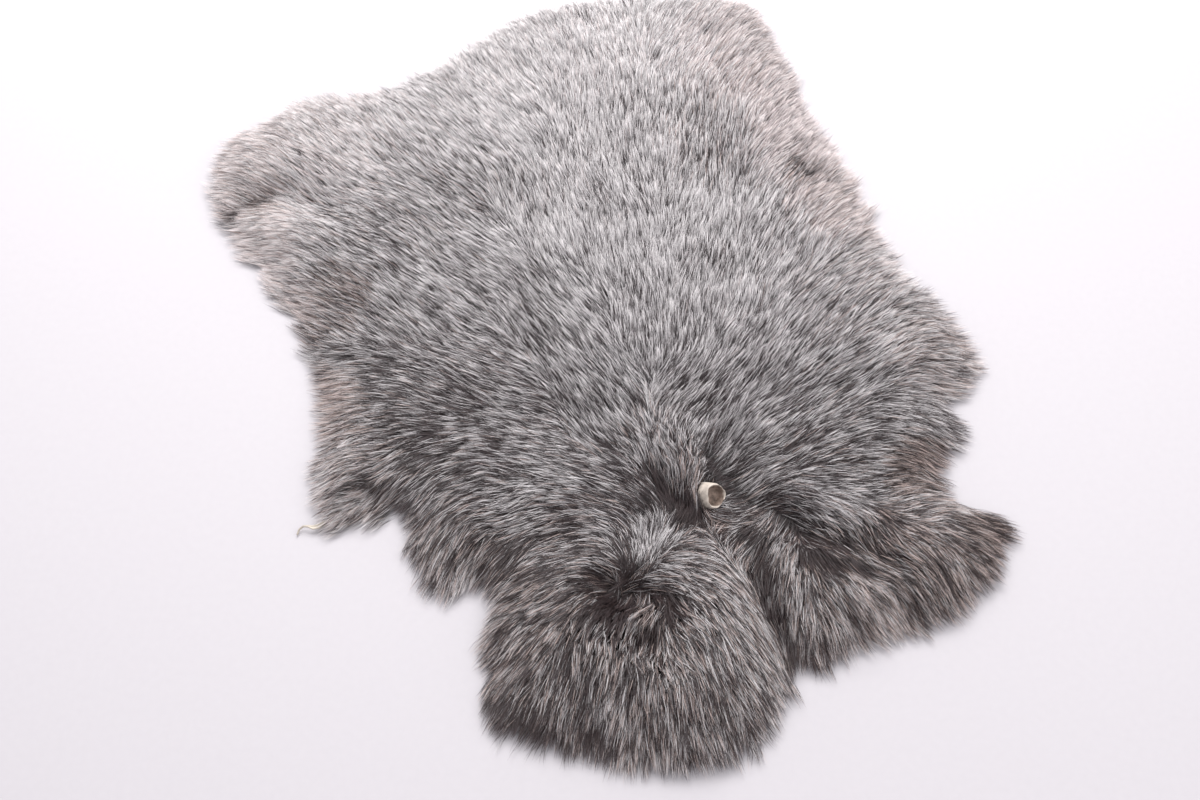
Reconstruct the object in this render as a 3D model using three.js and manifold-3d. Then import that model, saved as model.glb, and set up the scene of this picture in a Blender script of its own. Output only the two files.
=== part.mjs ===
import * as THREE from 'three';
import { ImprovedNoise } from 'three/addons/math/ImprovedNoise.js';
import { mergeVertices } from 'three/addons/utils/BufferGeometryUtils.js';
import Module from 'manifold-3d';

// A dressed rabbit skin lying fur side up on a flat surface, in millimetres.
// X runs across the skin, +Y runs from the rump to the neck and +Z up from the surface.
// It is one supple hide with a stub of tail skin, and the coat of fur that grows on it.

// Sizes of the hide
const HIDE_THICKNESS = 1.2;
const HIDE_INSET = 9;
const HIDE_EDGE_REST = 26;
const HIDE_SLACK = 1.5;
const HIDE_FOLD = 0.5;
const CLEARANCE = 0.4;

// Sizes of the coat
const PILE_HEIGHT = 14;
const RIM_HEIGHT = 6.5;
const RIM_SHOULDER = 13;
const RECESS_INSET = 7;
const LEAST_PILE = 4;

// Sizes of the locks round the rim
const RIM_LOCKS = 224;
const LOCK_LENGTH = 9.5;
const LOCK_SPREAD = 0.42;
const LOCK_WAIST = 0.62;
const LOCK_WAIST_AT = 0.5;
const LOCK_GROWTH_PULL = 0.55;
const LOCK_LEAN = 0.5;
const LOCK_TIP_HEIGHT = 0.8;
const LOCK_TIP_SPREAD = 2.2;
const TUFT_REACH = 9;
const TUFT_SPREAD = 0.4;
const TUFT_RISE = 0.6;

// Sizes of the tail stub, a short open tube of bare skin
const STUB_LENGTH = 22;
const STUB_BASE_RADIUS = 5.2;
const STUB_RIM_RADIUS = 4.3;
const STUB_MOUTH_RADIUS = 3;
const STUB_MOUTH_DEPTH = 3.4;
const STUB_LIP = 0.8;
const STUB_FOOT_DEPTH = 6;
const STUB_PASSAGE_ABOVE = 14;
const STUB_SIDES = 14;
const STUB_FOOT = new THREE.Vector3(45, -82, 0.5);
const STUB_LEAN = new THREE.Vector3(0.6, -0.42, 0.68);

// Sizes of the bare strip of hide that sticks out at the left point
const STRIP_ROOT = new THREE.Vector2(-96, -78);
const STRIP_TIP = new THREE.Vector2(-128, -98);
const STRIP_WIDTH = 4;
const STRIP_TIP_WIDTH = 0.8;

// The middle that the spokes of both sheets run from, inside every part of the rim
const HEART = new THREE.Vector2(25, -13);

// The rim of the dense coat, counterclockwise; the locks reach past it
const RIM = [
  { place: 'right flank point', x: 175, y: -16 },
  { place: 'right flank high', x: 163, y: 10 },
  { place: 'right side low', x: 144, y: 40 },
  { place: 'right side', x: 131, y: 71 },
  { place: 'right side high', x: 123, y: 98 },
  { place: 'right shoulder low', x: 105, y: 134 },
  { place: 'right shoulder', x: 96, y: 168 },
  { place: 'neck corner', x: 87, y: 194 },
  { place: 'neck right', x: 71, y: 203 },
  { place: 'neck middle', x: 18, y: 204 },
  { place: 'neck left', x: -26, y: 193 },
  { place: 'left shoulder high', x: -61, y: 169 },
  { place: 'left shoulder bend', x: -83, y: 151 },
  { place: 'left shoulder', x: -108, y: 137 },
  { place: 'left shoulder low', x: -141, y: 131 },
  { place: 'foreleg corner high', x: -167, y: 114 },
  { place: 'foreleg corner', x: -175, y: 106 },
  { place: 'foreleg corner low', x: -176, y: 78 },
  { place: 'left side high', x: -154, y: 48 },
  { place: 'left side', x: -135, y: 24 },
  { place: 'left side low', x: -120, y: -6 },
  { place: 'left flank', x: -113, y: -40 },
  { place: 'left flank low', x: -114, y: -76 },
  { place: 'left point', x: -112, y: -92 },
  { place: 'left point inside', x: -103, y: -92 },
  { place: 'left notch', x: -85, y: -84 },
  { place: 'left lobe high', x: -73, y: -95 },
  { place: 'left lobe side', x: -68, y: -113 },
  { place: 'left lobe tip', x: -60, y: -125 },
  { place: 'left lobe notch', x: -41, y: -120 },
  { place: 'rump left high', x: -37, y: -147 },
  { place: 'rump left', x: -31, y: -170 },
  { place: 'rump corner left', x: -33, y: -185 },
  { place: 'rump corner low', x: -24, y: -191 },
  { place: 'rump low left', x: -1, y: -195 },
  { place: 'rump bottom left', x: 18, y: -199 },
  { place: 'rump bottom', x: 38, y: -206 },
  { place: 'rump low right', x: 56, y: -203 },
  { place: 'rump right', x: 71, y: -190 },
  { place: 'rump right high', x: 81, y: -179 },
  { place: 'valley', x: 88, y: -163 },
  { place: 'right lobe left', x: 98, y: -158 },
  { place: 'right lobe bottom', x: 111, y: -154 },
  { place: 'right lobe low', x: 131, y: -144 },
  { place: 'right heel', x: 152, y: -139 },
  { place: 'right leg low', x: 166, y: -129 },
  { place: 'right leg side', x: 177, y: -118 },
  { place: 'right leg tip', x: 181, y: -104 },
  { place: 'right leg top', x: 168, y: -93 },
  { place: 'right leg notch', x: 152, y: -75 },
  { place: 'right flank lump', x: 165, y: -50 },
  { place: 'right flank notch', x: 162, y: -35 },
];

// Where the skin is bunched or the fur stands higher: a soft mound with its half sizes,
// the turn of its long axis in degrees, the lift of the hide and the pile that it adds
const MOUNDS = [
  { place: 'rump lobe', x: 25, y: -158, long: 52, wide: 44, turn: 0, hide: 15, pile: 8 },
  { place: 'right lobe', x: 131, y: -118, long: 50, wide: 25, turn: -14, hide: 9, pile: 6 },
  { place: 'right lobe foot', x: 107, y: -138, long: 26, wide: 20, turn: 30, hide: 4, pile: 5 },
  { place: 'left point', x: -100, y: -71, long: 24, wide: 15, turn: 60, hide: 0, pile: 4 },
  { place: 'left lobe', x: -57, y: -106, long: 22, wide: 18, turn: -60, hide: 4, pile: 4 },
  { place: 'left hip', x: -9, y: -101, long: 40, wide: 26, turn: -20, hide: 0, pile: 3 },
  { place: 'foreleg roll high', x: -153, y: 97, long: 34, wide: 13, turn: 6, hide: 2.5, pile: 4 },
  { place: 'foreleg roll low', x: -147, y: 54, long: 30, wide: 13, turn: -40, hide: 2.5, pile: 4 },
  { place: 'right flank', x: 153, y: -9, long: 26, wide: 18, turn: 60, hide: 0, pile: 3.5 },
  { place: 'right flank low', x: 148, y: -55, long: 18, wide: 15, turn: 0, hide: 0, pile: 4 },
  { place: 'tail base', x: 45, y: -65, long: 26, wide: 18, turn: 70, hide: 0, pile: 5 },
  { place: 'back', x: 29, y: 34, long: 90, wide: 34, turn: 90, hide: 0, pile: 2 },
  { place: 'neck belt', x: 87, y: 164, long: 46, wide: 14, turn: -70, hide: 0, pile: 3 },
];

// Troughs pressed into the coat, each along a short run of places with its half width and depth
const CREASES = [
  { place: 'right of the tail', width: 8, depth: 13, run: [[59, -59], [66, -85], [93, -102], [127, -118]] },
  { place: 'between the lobes', width: 8, depth: 15, run: [[69, -107], [79, -133], [90, -159]] },
  { place: 'round the tail stub', width: 8, depth: 7, run: [[60, -99], [68, -92]] },
  { place: 'whorl of the rump', width: 9, depth: 11, run: [[14, -133], [24, -136]] },
  { place: 'below the whorl', width: 8, depth: 8, run: [[23, -156], [35, -160]] },
  { place: 'above the rump lobe', width: 12, depth: 4, run: [[47, -105], [13, -103], [-19, -113]] },
  { place: 'foreleg fold', width: 8, depth: 10, run: [[-175, 65], [-153, 76], [-127, 70]] },
  { place: 'left point fold', width: 7, depth: 8, run: [[-95, -63], [-83, -85]] },
  { place: 'left lobe fold', width: 8, depth: 7, run: [[-42, -117], [-33, -99]] },
  { place: 'right flank fold', width: 8, depth: 5, run: [[163, -35], [143, -33]] },
  { place: 'right leg fold', width: 9, depth: 6, run: [[153, -77], [131, -89]] },
  { place: 'inside the neck belt', width: 10, depth: 3, run: [[49, 181], [67, 155], [101, 111], [119, 71]] },
];

// Unevenness of the coat: noises with their height, length and layer, and the one at the rim
const LUMPS = [
  { height: 2.9, length: 26, layer: 3.1 },
  { height: 1.4, length: 12, layer: 8.4 },
];
const RIM_LUMP = { height: 2.5, length: 9, layer: 5.7 };

// Places that the fur grows away from, with how far each one rules it
const CROWNS = [
  { place: 'tail', x: 53, y: -73, reach: 110 },
  { place: 'rump whorl', x: 21, y: -135, reach: 45 },
  { place: 'right lobe', x: 95, y: -105, reach: 40 },
];

// Spokes from the heart that carry the rings, as shares of the way to the rim
const FUR_RINGS = [
  { spokes: 28, share: 0.09 },
  { spokes: 28, share: 0.18 },
  { spokes: 56, share: 0.27 },
  { spokes: 56, share: 0.35 },
  { spokes: 112, share: 0.43 },
  { spokes: 112, share: 0.49 },
  { spokes: 112, share: 0.55 },
  { spokes: 112, share: 0.6 },
  { spokes: 112, share: 0.65 },
  { spokes: 112, share: 0.7 },
  { spokes: 112, share: 0.75 },
  { spokes: 112, share: 0.8 },
  { spokes: 112, share: 0.85 },
  { spokes: 112, share: 0.93 },
];
const FUR_EDGE_INSETS = [16, 7];
const HIDE_RINGS = [
  { spokes: 28, share: 0.16 },
  { spokes: 56, share: 0.32 },
  { spokes: 56, share: 0.46 },
  { spokes: 112, share: 0.58 },
  { spokes: 112, share: 0.7 },
  { spokes: 112, share: 0.82 },
];
const EDGE_SPOKES = 112;

// The rim as evenly spaced places along a smooth closed curve
function rimPlaces() {
  const corners = RIM.map((row) => new THREE.Vector3(row.x, row.y, 0));
  const curve = new THREE.CatmullRomCurve3(corners, true, 'centripetal');
  curve.arcLengthDivisions = 2000;
  return curve.getSpacedPoints(RIM_LOCKS).slice(0, RIM_LOCKS);
}

const rimRun = rimPlaces();
const rim = rimRun.map((place) => new THREE.Vector2(place.x, place.y));
const rimDistance = (x, y) => runDistance(rimRun, true, x, y);

const noise = new ImprovedNoise();
const lumpAt = (lump, x, y) => lump.height * noise.noise(x / lump.length, y / lump.length, lump.layer);
const smooth = THREE.MathUtils.smoothstep;

// A repeatable number from 0 to 1 for each lock and use
function chance(index, use) {
  const wave = Math.sin(index * 12.9898 + use * 78.233) * 43758.5453;
  return wave - Math.floor(wave);
}

// How much of a mound is felt at a place, 1 on its top
function moundShare(mound, x, y) {
  const turn = THREE.MathUtils.degToRad(mound.turn);
  const along = (x - mound.x) * Math.cos(turn) + (y - mound.y) * Math.sin(turn);
  const across = (y - mound.y) * Math.cos(turn) - (x - mound.x) * Math.sin(turn);
  return Math.exp(-((along / mound.long) ** 2 + (across / mound.wide) ** 2));
}

// Distance from a place to the nearest stretch of a run of places
function runDistance(run, closed, x, y) {
  const place = new THREE.Vector3(x, y, 0);
  const foot = new THREE.Vector3();
  let nearest = Infinity;
  for (let i = closed ? 0 : 1; i < run.length; i++) {
    const before = run[(i + run.length - 1) % run.length];
    new THREE.Line3(before, run[i]).closestPointToPoint(place, true, foot);
    nearest = Math.min(nearest, foot.distanceTo(place));
  }
  return nearest;
}

// How much of a crease is felt at a place, 1 along its run
function creaseShare(crease, x, y) {
  const run = crease.run.map(([u, v]) => new THREE.Vector3(u, v, 0));
  return Math.exp(-((runDistance(run, false, x, y) / crease.width) ** 2));
}

// Height of the hide's underside, 0 where the skin lies flat on the surface
function hideHeight(x, y) {
  let lift = 0;
  for (const mound of MOUNDS) lift += mound.hide * moundShare(mound, x, y);
  for (const crease of CREASES) lift *= 1 - HIDE_FOLD * creaseShare(crease, x, y);
  const rest = smooth(rimDistance(x, y), HIDE_INSET, HIDE_INSET + HIDE_EDGE_REST);
  return Math.max(0, lift - HIDE_SLACK) * rest;
}

// Height of the fur above the hide, before it falls away at the rim
function pileHeight(x, y) {
  let pile = PILE_HEIGHT;
  for (const mound of MOUNDS) pile += mound.pile * moundShare(mound, x, y);
  for (const crease of CREASES) pile -= crease.depth * creaseShare(crease, x, y);
  for (const lump of LUMPS) pile += lumpAt(lump, x, y);
  return Math.max(LEAST_PILE, pile);
}

// Height of the coat's upper face above the surface
function furHeight(x, y) {
  const full = pileHeight(x, y) + hideHeight(x, y);
  const low = Math.min(full, RIM_HEIGHT + lumpAt(RIM_LUMP, x, y));
  return full + (low - full) * Math.exp(-rimDistance(x, y) / RIM_SHOULDER);
}

// A mesh of rings, each a list of vertex numbers counterclockwise round the heart
class RingMesh {
  constructor() {
    this.positions = [];
    this.faces = [];
  }

  vertex(x, y, z) {
    this.positions.push(x, y, z);
    return this.positions.length / 3 - 1;
  }

  // A ring at a share of the way to the rim less an inset in millimetres
  ring(spokes, share, inset, heightOf) {
    const step = rim.length / spokes;
    const numbers = [];
    for (let k = 0; k < spokes; k++) {
      const spoke = rim[k * step].clone().sub(HEART);
      const place = HEART.clone().addScaledVector(spoke, share * (1 - inset / spoke.length()));
      numbers.push(this.vertex(place.x, place.y, heightOf(place.x, place.y)));
    }
    return numbers;
  }

  triangle(a, b, c, up) {
    if (up) this.faces.push(a, b, c);
    else this.faces.push(a, c, b);
  }

  // Faces from a middle vertex to the first ring
  fan(middle, ring, up) {
    for (let k = 0; k < ring.length; k++) {
      this.triangle(middle, ring[k], ring[(k + 1) % ring.length], up);
    }
  }

  // Faces between two rings, where the outer ring has as many spokes or twice as many;
  // skip names inner spokes whose quad is left open
  band(inner, outer, up, skip = () => false) {
    const ratio = outer.length / inner.length;
    for (let k = 0; k < inner.length; k++) {
      if (skip(k)) continue;
      const next = (k + 1) % inner.length;
      const far = (k * ratio + ratio) % outer.length;
      const mid = ratio === 2 ? outer[k * ratio + 1] : outer[far];
      this.triangle(inner[k], outer[k * ratio], mid, up);
      this.triangle(inner[k], mid, inner[next], up);
      if (ratio === 2) this.triangle(inner[next], mid, outer[far], up);
    }
  }

  // A sheet's face: a middle, its rings, and the ring that it ends at
  face(rings, inset, heightOf, up) {
    let last = this.vertex(HEART.x, HEART.y, heightOf(HEART.x, HEART.y));
    let first = true;
    for (const row of rings) {
      const next = this.ring(row.spokes, row.share, inset, heightOf);
      if (first) this.fan(last, next, up);
      else this.band(last, next, up);
      last = next;
      first = false;
    }
    return last;
  }

  geometry() {
    const made = new THREE.BufferGeometry();
    made.setAttribute('position', new THREE.Float32BufferAttribute(this.positions, 3));
    made.setIndex(this.faces);
    return made;
  }
}

// The way the fur grows at a place, as a unit vector away from the crowns
function growth(x, y) {
  const way = new THREE.Vector2();
  for (const crown of CROWNS) {
    const from = new THREE.Vector2(x - crown.x, y - crown.y);
    const rule = Math.exp(-from.length() / crown.reach);
    way.addScaledVector(from.normalize(), rule);
  }
  return way.normalize();
}

// One four-sided lock: it leaves the rim between two spokes, rests on the surface and ends in a tip
function addLock(mesh, index, top, bottom) {
  const next = (index + 1) % rim.length;
  const along = rim[next].clone().sub(rim[index]);
  const outward = new THREE.Vector2(along.y, -along.x).normalize();
  const middle = rim[index].clone().addScaledVector(along, 0.5);
  const way = outward.clone().addScaledVector(growth(middle.x, middle.y), LOCK_GROWTH_PULL).normalize();
  way.rotateAround(new THREE.Vector2(), (chance(index, 1) - 0.5) * LOCK_LEAN);
  const length = LOCK_LENGTH * (1 + (chance(index, 2) * 2 - 1) * LOCK_SPREAD);
  const height = (mesh.positions[top[index] * 3 + 2] + mesh.positions[top[next] * 3 + 2]) / 2;
  const waist = [];
  for (const [side, z] of [[-1, height * LOCK_WAIST], [1, height * LOCK_WAIST], [1, 0], [-1, 0]]) {
    const place = middle.clone().addScaledVector(way, length * LOCK_WAIST_AT);
    place.addScaledVector(along, (side * LOCK_WAIST) / 2);
    waist.push(mesh.vertex(place.x, place.y, z));
  }
  const end = middle.clone().addScaledVector(way, length);
  const tip = mesh.vertex(end.x, end.y, LOCK_TIP_HEIGHT + LOCK_TIP_SPREAD * chance(index, 3));
  const root = [top[index], top[next], bottom[next], bottom[index]];
  for (let side = 0; side < 4; side++) {
    const after = (side + 1) % 4;
    mesh.triangle(root[side], waist[side], waist[after], true);
    mesh.triangle(root[side], waist[after], root[after], true);
    mesh.triangle(waist[side], tip, waist[after], true);
  }
}

// One tuft of the upper tier: it leans out of a quad of the coat and overhangs the rim
function addTuft(mesh, spoke, inner, outer) {
  const next = (spoke + 1) % inner.length;
  const corners = [inner[spoke], outer[spoke], outer[next], inner[next]];
  const middle = new THREE.Vector3();
  for (const corner of corners) middle.add(new THREE.Vector3().fromArray(mesh.positions, corner * 3));
  middle.divideScalar(corners.length);
  const reach = TUFT_REACH * (1 - TUFT_SPREAD * chance(spoke, 4));
  const way = growth(middle.x, middle.y).multiplyScalar(reach);
  const tip = mesh.vertex(middle.x + way.x, middle.y + way.y, middle.z + TUFT_RISE);
  for (let side = 0; side < 4; side++) {
    mesh.triangle(corners[side], corners[(side + 1) % 4], tip, true);
  }
}

// The coat: a lumpy slab of fur, hollowed below for the hide, with locks round its rim
function coatGeometry() {
  const mesh = new RingMesh();
  let last = mesh.face(FUR_RINGS, FUR_EDGE_INSETS[0], furHeight, true);
  const shoulder = mesh.ring(EDGE_SPOKES, 1, FUR_EDGE_INSETS[0], furHeight);
  mesh.band(last, shoulder, true);
  const brow = mesh.ring(EDGE_SPOKES, 1, FUR_EDGE_INSETS[1], furHeight);
  mesh.band(shoulder, brow, true, (spoke) => spoke % 2 === 1);
  for (let spoke = 1; spoke < EDGE_SPOKES; spoke += 2) addTuft(mesh, spoke, shoulder, brow);
  const top = mesh.ring(RIM_LOCKS, 1, 0, furHeight);
  mesh.band(brow, top, true);

  const bottom = mesh.ring(RIM_LOCKS, 1, 0, () => 0);
  for (let index = 0; index < RIM_LOCKS; index++) addLock(mesh, index, top, bottom);
  const lip = mesh.ring(EDGE_SPOKES, 1, RECESS_INSET, () => 0);
  mesh.band(lip, bottom, false);
  const ceiling = (x, y) => hideHeight(x, y) + HIDE_THICKNESS + CLEARANCE;
  last = mesh.face(HIDE_RINGS, HIDE_INSET, ceiling, false);
  const recess = mesh.ring(EDGE_SPOKES, 1, RECESS_INSET, ceiling);
  mesh.band(last, recess, false);
  mesh.band(recess, lip, false);
  return mesh.geometry();
}

// The hide: one thin sheet, flat on the surface but where it is bunched
function hideGeometry() {
  const mesh = new RingMesh();
  const above = (x, y) => hideHeight(x, y) + HIDE_THICKNESS;
  const edges = [];
  for (const [heightOf, up] of [[above, true], [hideHeight, false]]) {
    const last = mesh.face(HIDE_RINGS, HIDE_INSET, heightOf, up);
    const edge = mesh.ring(EDGE_SPOKES, 1, HIDE_INSET, heightOf);
    mesh.band(last, edge, up);
    edges.push(edge);
  }
  mesh.band(edges[0], edges[1], true);
  return mesh.geometry();
}

// Stands a lathe profile on the stub's foot along its lean, with nothing lower than the floor given
function stubGeometry(profile, floor) {
  const made = new THREE.LatheGeometry(profile.map(([r, z]) => new THREE.Vector2(r, z)), STUB_SIDES);
  const lean = STUB_LEAN.clone().normalize();
  const turn = new THREE.Quaternion().setFromUnitVectors(new THREE.Vector3(0, 1, 0), lean);
  made.applyQuaternion(turn).translate(STUB_FOOT.x, STUB_FOOT.y, STUB_FOOT.z);
  const places = made.getAttribute('position');
  for (let i = 0; i < places.count; i++) places.setZ(i, Math.max(places.getZ(i), floor));
  return made;
}

// Radius and height of the stub's profile, and of the passage through the coat that clears it
const STUB_PROFILE = [
  [0, -STUB_FOOT_DEPTH],
  [STUB_BASE_RADIUS, -STUB_FOOT_DEPTH],
  [STUB_BASE_RADIUS, 0],
  [STUB_RIM_RADIUS, STUB_LENGTH - STUB_LIP],
  [(STUB_RIM_RADIUS + STUB_MOUTH_RADIUS) / 2, STUB_LENGTH],
  [STUB_MOUTH_RADIUS, STUB_LENGTH - STUB_LIP],
  [STUB_MOUTH_RADIUS, STUB_LENGTH - STUB_MOUTH_DEPTH],
  [0, STUB_LENGTH - STUB_MOUTH_DEPTH],
];
const STUB_PASSAGE = [
  [0, -STUB_FOOT_DEPTH],
  [STUB_BASE_RADIUS + CLEARANCE, -STUB_FOOT_DEPTH],
  [STUB_BASE_RADIUS + CLEARANCE, 0],
  [STUB_RIM_RADIUS + CLEARANCE, STUB_LENGTH],
  [STUB_RIM_RADIUS + CLEARANCE, STUB_LENGTH + STUB_PASSAGE_ABOVE],
  [0, STUB_LENGTH + STUB_PASSAGE_ABOVE],
];

// A tapering strip lying on the surface, grown by a margin on every side but at its root
function stripGeometry(margin) {
  const run = STRIP_TIP.clone().sub(STRIP_ROOT);
  const length = run.length() + margin;
  const rootHalf = STRIP_WIDTH / 2 + margin;
  const tipHalf = STRIP_TIP_WIDTH / 2 + margin;
  const outline = new THREE.Shape([
    new THREE.Vector2(0, -rootHalf),
    new THREE.Vector2(length, -tipHalf),
    new THREE.Vector2(length, tipHalf),
    new THREE.Vector2(0, rootHalf),
  ]);
  const depth = HIDE_THICKNESS + margin * 2;
  const made = new THREE.ExtrudeGeometry(outline, { depth, bevelEnabled: false });
  return made.translate(0, 0, -margin).rotateZ(run.angle()).translate(STRIP_ROOT.x, STRIP_ROOT.y, 0);
}

const wasm = await Module();
wasm.setup();

// A closed geometry as a manifold-3d solid
function solidOf(geometry) {
  const bare = geometry.clone();
  bare.deleteAttribute('normal');
  bare.deleteAttribute('uv');
  const merged = mergeVertices(bare, 1e-4);
  const vertProperties = merged.getAttribute('position').array;
  const triVerts = new Uint32Array(merged.index.array);
  return new wasm.Manifold(new wasm.Mesh({ numProp: 3, vertProperties, triVerts }));
}

// A manifold-3d solid as a named mesh with its own material
function meshOf(name, solid, material) {
  const made = solid.getMesh();
  const geometry = new THREE.BufferGeometry();
  geometry.setAttribute('position', new THREE.Float32BufferAttribute(made.vertProperties, 3));
  geometry.setIndex(Array.from(made.triVerts));
  geometry.computeVertexNormals();
  const mesh = new THREE.Mesh(geometry, material);
  mesh.name = name;
  return mesh;
}

const furMaterial = new THREE.MeshStandardMaterial({ color: 0x8d8a88, roughness: 0.85, metalness: 0 });
const hideMaterial = new THREE.MeshStandardMaterial({ color: 0xd9c9b0, roughness: 0.75, metalness: 0 });

const hide = solidOf(hideGeometry())
  .add(solidOf(stubGeometry(STUB_PROFILE, HIDE_THICKNESS / 2)))
  .add(solidOf(stripGeometry(0)));
const coat = solidOf(coatGeometry())
  .subtract(solidOf(stubGeometry(STUB_PASSAGE, HIDE_THICKNESS / 2)))
  .subtract(solidOf(stripGeometry(CLEARANCE)));

const skin = new THREE.Group();
skin.add(meshOf('hide', hide, hideMaterial));
skin.add(meshOf('fur_coat', coat, furMaterial));

// The origin is the middle of the skin's box, on the surface
const middle = new THREE.Box3().setFromObject(skin).getCenter(new THREE.Vector3());
skin.position.set(-middle.x, -middle.y, 0);

export default skin;
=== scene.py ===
import math

import bpy
import numpy as np
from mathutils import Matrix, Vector
from mathutils.bvhtree import BVHTree


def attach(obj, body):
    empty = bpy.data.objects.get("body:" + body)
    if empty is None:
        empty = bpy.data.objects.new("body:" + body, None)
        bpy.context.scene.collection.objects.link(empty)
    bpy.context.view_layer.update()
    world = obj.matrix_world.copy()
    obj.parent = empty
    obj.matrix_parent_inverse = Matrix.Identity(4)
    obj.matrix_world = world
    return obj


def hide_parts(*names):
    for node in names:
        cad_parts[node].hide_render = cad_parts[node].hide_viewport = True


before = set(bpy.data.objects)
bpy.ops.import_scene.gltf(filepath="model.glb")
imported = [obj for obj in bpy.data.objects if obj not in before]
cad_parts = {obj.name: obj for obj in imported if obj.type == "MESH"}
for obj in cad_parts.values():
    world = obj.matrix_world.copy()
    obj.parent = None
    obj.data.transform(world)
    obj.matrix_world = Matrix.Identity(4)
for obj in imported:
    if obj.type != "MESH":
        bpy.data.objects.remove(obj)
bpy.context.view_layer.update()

bl_info = {
    "name": "Rabbit Skin",
    "version": (1, 0, 0),
    "blender": (4, 5, 0),
    "location": "View3D > Sidebar > Rabbit Skin",
    "description": "Dresses the solids of a rabbit skin with its hide, underfur and coat of hairs",
    "category": "Add Mesh",
}

# Plan places are millimetres in the frame of the solids: x across, +y from the rump to the neck
MM = 0.001
SEED = 20

# The camera of the photograph: picture size and focal length in pixels, then its place and tilt
PICTURE_WIDTH = 1200
PICTURE_HEIGHT = 800
FOCAL_PIXELS = 1903.0
SENSOR_WIDTH_MM = 36.0
CAMERA_ELEVATION = math.radians(60)
CAMERA_PLACE_MM = (6.95, -464.9, 749.1)

# The rim of the dense coat counterclockwise, in the same places as in the solids
RIM = (
    (175, -16), (163, 10), (144, 40), (131, 71), (123, 98), (105, 134), (96, 168), (87, 194),
    (71, 203), (18, 204), (-26, 193), (-61, 169), (-83, 151), (-108, 137), (-141, 131),
    (-167, 114), (-175, 106), (-176, 78), (-154, 48), (-135, 24), (-120, -6), (-113, -40),
    (-114, -76), (-112, -92), (-103, -92), (-85, -84), (-73, -95), (-68, -113), (-60, -125),
    (-41, -120), (-37, -147), (-31, -170), (-33, -185), (-24, -191), (-1, -195), (18, -199),
    (38, -206), (56, -203), (71, -190), (81, -179), (88, -163), (98, -158), (111, -154),
    (131, -144), (152, -139), (166, -129), (177, -118), (181, -104), (168, -93), (152, -75),
    (165, -50), (162, -35),
)
# Shift that sets these corners on the photograph
RIM_SHIFT = (-0.35, -0.14)
RIM_SPOKES = 448
RIM_FINE = 24
HEART = (25.0, -13.0)

# Way of the hair from root to tip, read off the photograph: how far each guide is felt in
# millimetres, then picture x, y and the angle in degrees counterclockwise from the picture's right
FLOW = {
    "neck": (
        20,
        (600, 100, 95), (700, 100, 85), (700, 30, 60), (780, 60, 50), (600, 30, 100), (520, 40, 115),
    ),
    "left shoulder": (
        17,
        (500, 100, 125), (560, 200, 107), (450, 250, 140), (350, 200, 145), (300, 140, 135),
        (250, 150, 150), (230, 230, 165), (260, 280, 155), (330, 300, 140), (400, 110, 130),
    ),
    "right shoulder": (
        15,
        (800, 130, 55), (850, 200, 45), (880, 250, 40), (800, 220, 65), (700, 230, 80),
    ),
    "back": (
        15,
        (620, 230, 100), (650, 300, 95), (700, 300, 77), (700, 400, 55), (750, 350, 60),
        (660, 450, 100), (600, 400, 125), (560, 300, 125), (600, 480, 160), (630, 470, 120),
    ),
    "left flank": (
        15,
        (320, 300, 150), (330, 380, 165), (330, 450, 180), (400, 300, 135), (450, 380, 150),
        (500, 440, 160), (430, 440, 175), (400, 480, 200),
    ),
    "right flank": (
        13,
        (800, 400, 45), (850, 300, 50), (850, 420, 30), (900, 350, 35), (950, 330, 20),
        (950, 380, 5), (930, 430, 0), (905, 450, 2), (938, 462, -10), (895, 475, 8),
        (915, 500, 38), (720, 450, 60), (760, 470, 25),
    ),
    "left point": (
        9,
        (340, 440, 180), (330, 490, 187), (360, 515, 215), (400, 490, 215), (420, 520, 210),
        (430, 560, 235), (450, 580, 240), (480, 560, 215), (450, 500, 190), (500, 520, 185),
    ),
    "rump lobe": (
        9.5,
        (560, 540, 182), (520, 600, 190), (510, 660, 210), (500, 720, 230), (560, 700, 245),
        (600, 740, 255), (660, 740, 275), (720, 740, 295), (760, 700, 315), (760, 640, 330),
        (740, 590, 347), (700, 560, 7), (670, 530, 65), (650, 560, 70), (620, 550, 115),
        (600, 570, 150), (640, 680, 260), (700, 670, 300), (585, 595, 180), (598, 612, 215),
        (640, 580, 25), (660, 592, 2), (690, 590, 358), (655, 606, 350), (690, 625, 325),
        (640, 630, 208), (620, 640, 218), (655, 622, 205), (605, 660, 235), (640, 655, 250),
        (672, 648, 285), (700, 640, 310), (560, 590, 178), (580, 560, 160), (640, 550, 95),
    ),
    "right lobe": (
        8.5,
        (735, 515, 185), (745, 542, 213), (765, 543, 222), (785, 540, 232), (755, 565, 235),
        (778, 562, 240), (775, 590, 250), (800, 585, 262), (800, 610, 262), (800, 640, 265),
        (830, 640, 300), (820, 572, 318), (830, 600, 318), (850, 590, 334), (880, 590, 335),
        (870, 612, 325), (840, 620, 315), (925, 610, 318), (940, 590, 322), (965, 575, 322),
        (982, 552, 342), (1003, 531, 356), (978, 519, 356), (941, 498, 14), (935, 545, 345),
        (892, 530, 312), (907, 516, 358), (931, 566, 322), (900, 580, 345),
        (850, 497, 10), (800, 512, -12), (830, 514, -25), (860, 520, -40), (880, 540, -50),
        (845, 542, -32), (815, 534, -30),
    ),
}
# Fall of a hair from root to tip for each millimetre that it reaches
FLOW_FALL = 0.42

# The whorl, which the hair turns away from on all sides: picture x and y, and reach in millimetres
WHORL = (617, 591)
WHORL_REACH = 7.0
WHORL_PULL = 2.5

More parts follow.
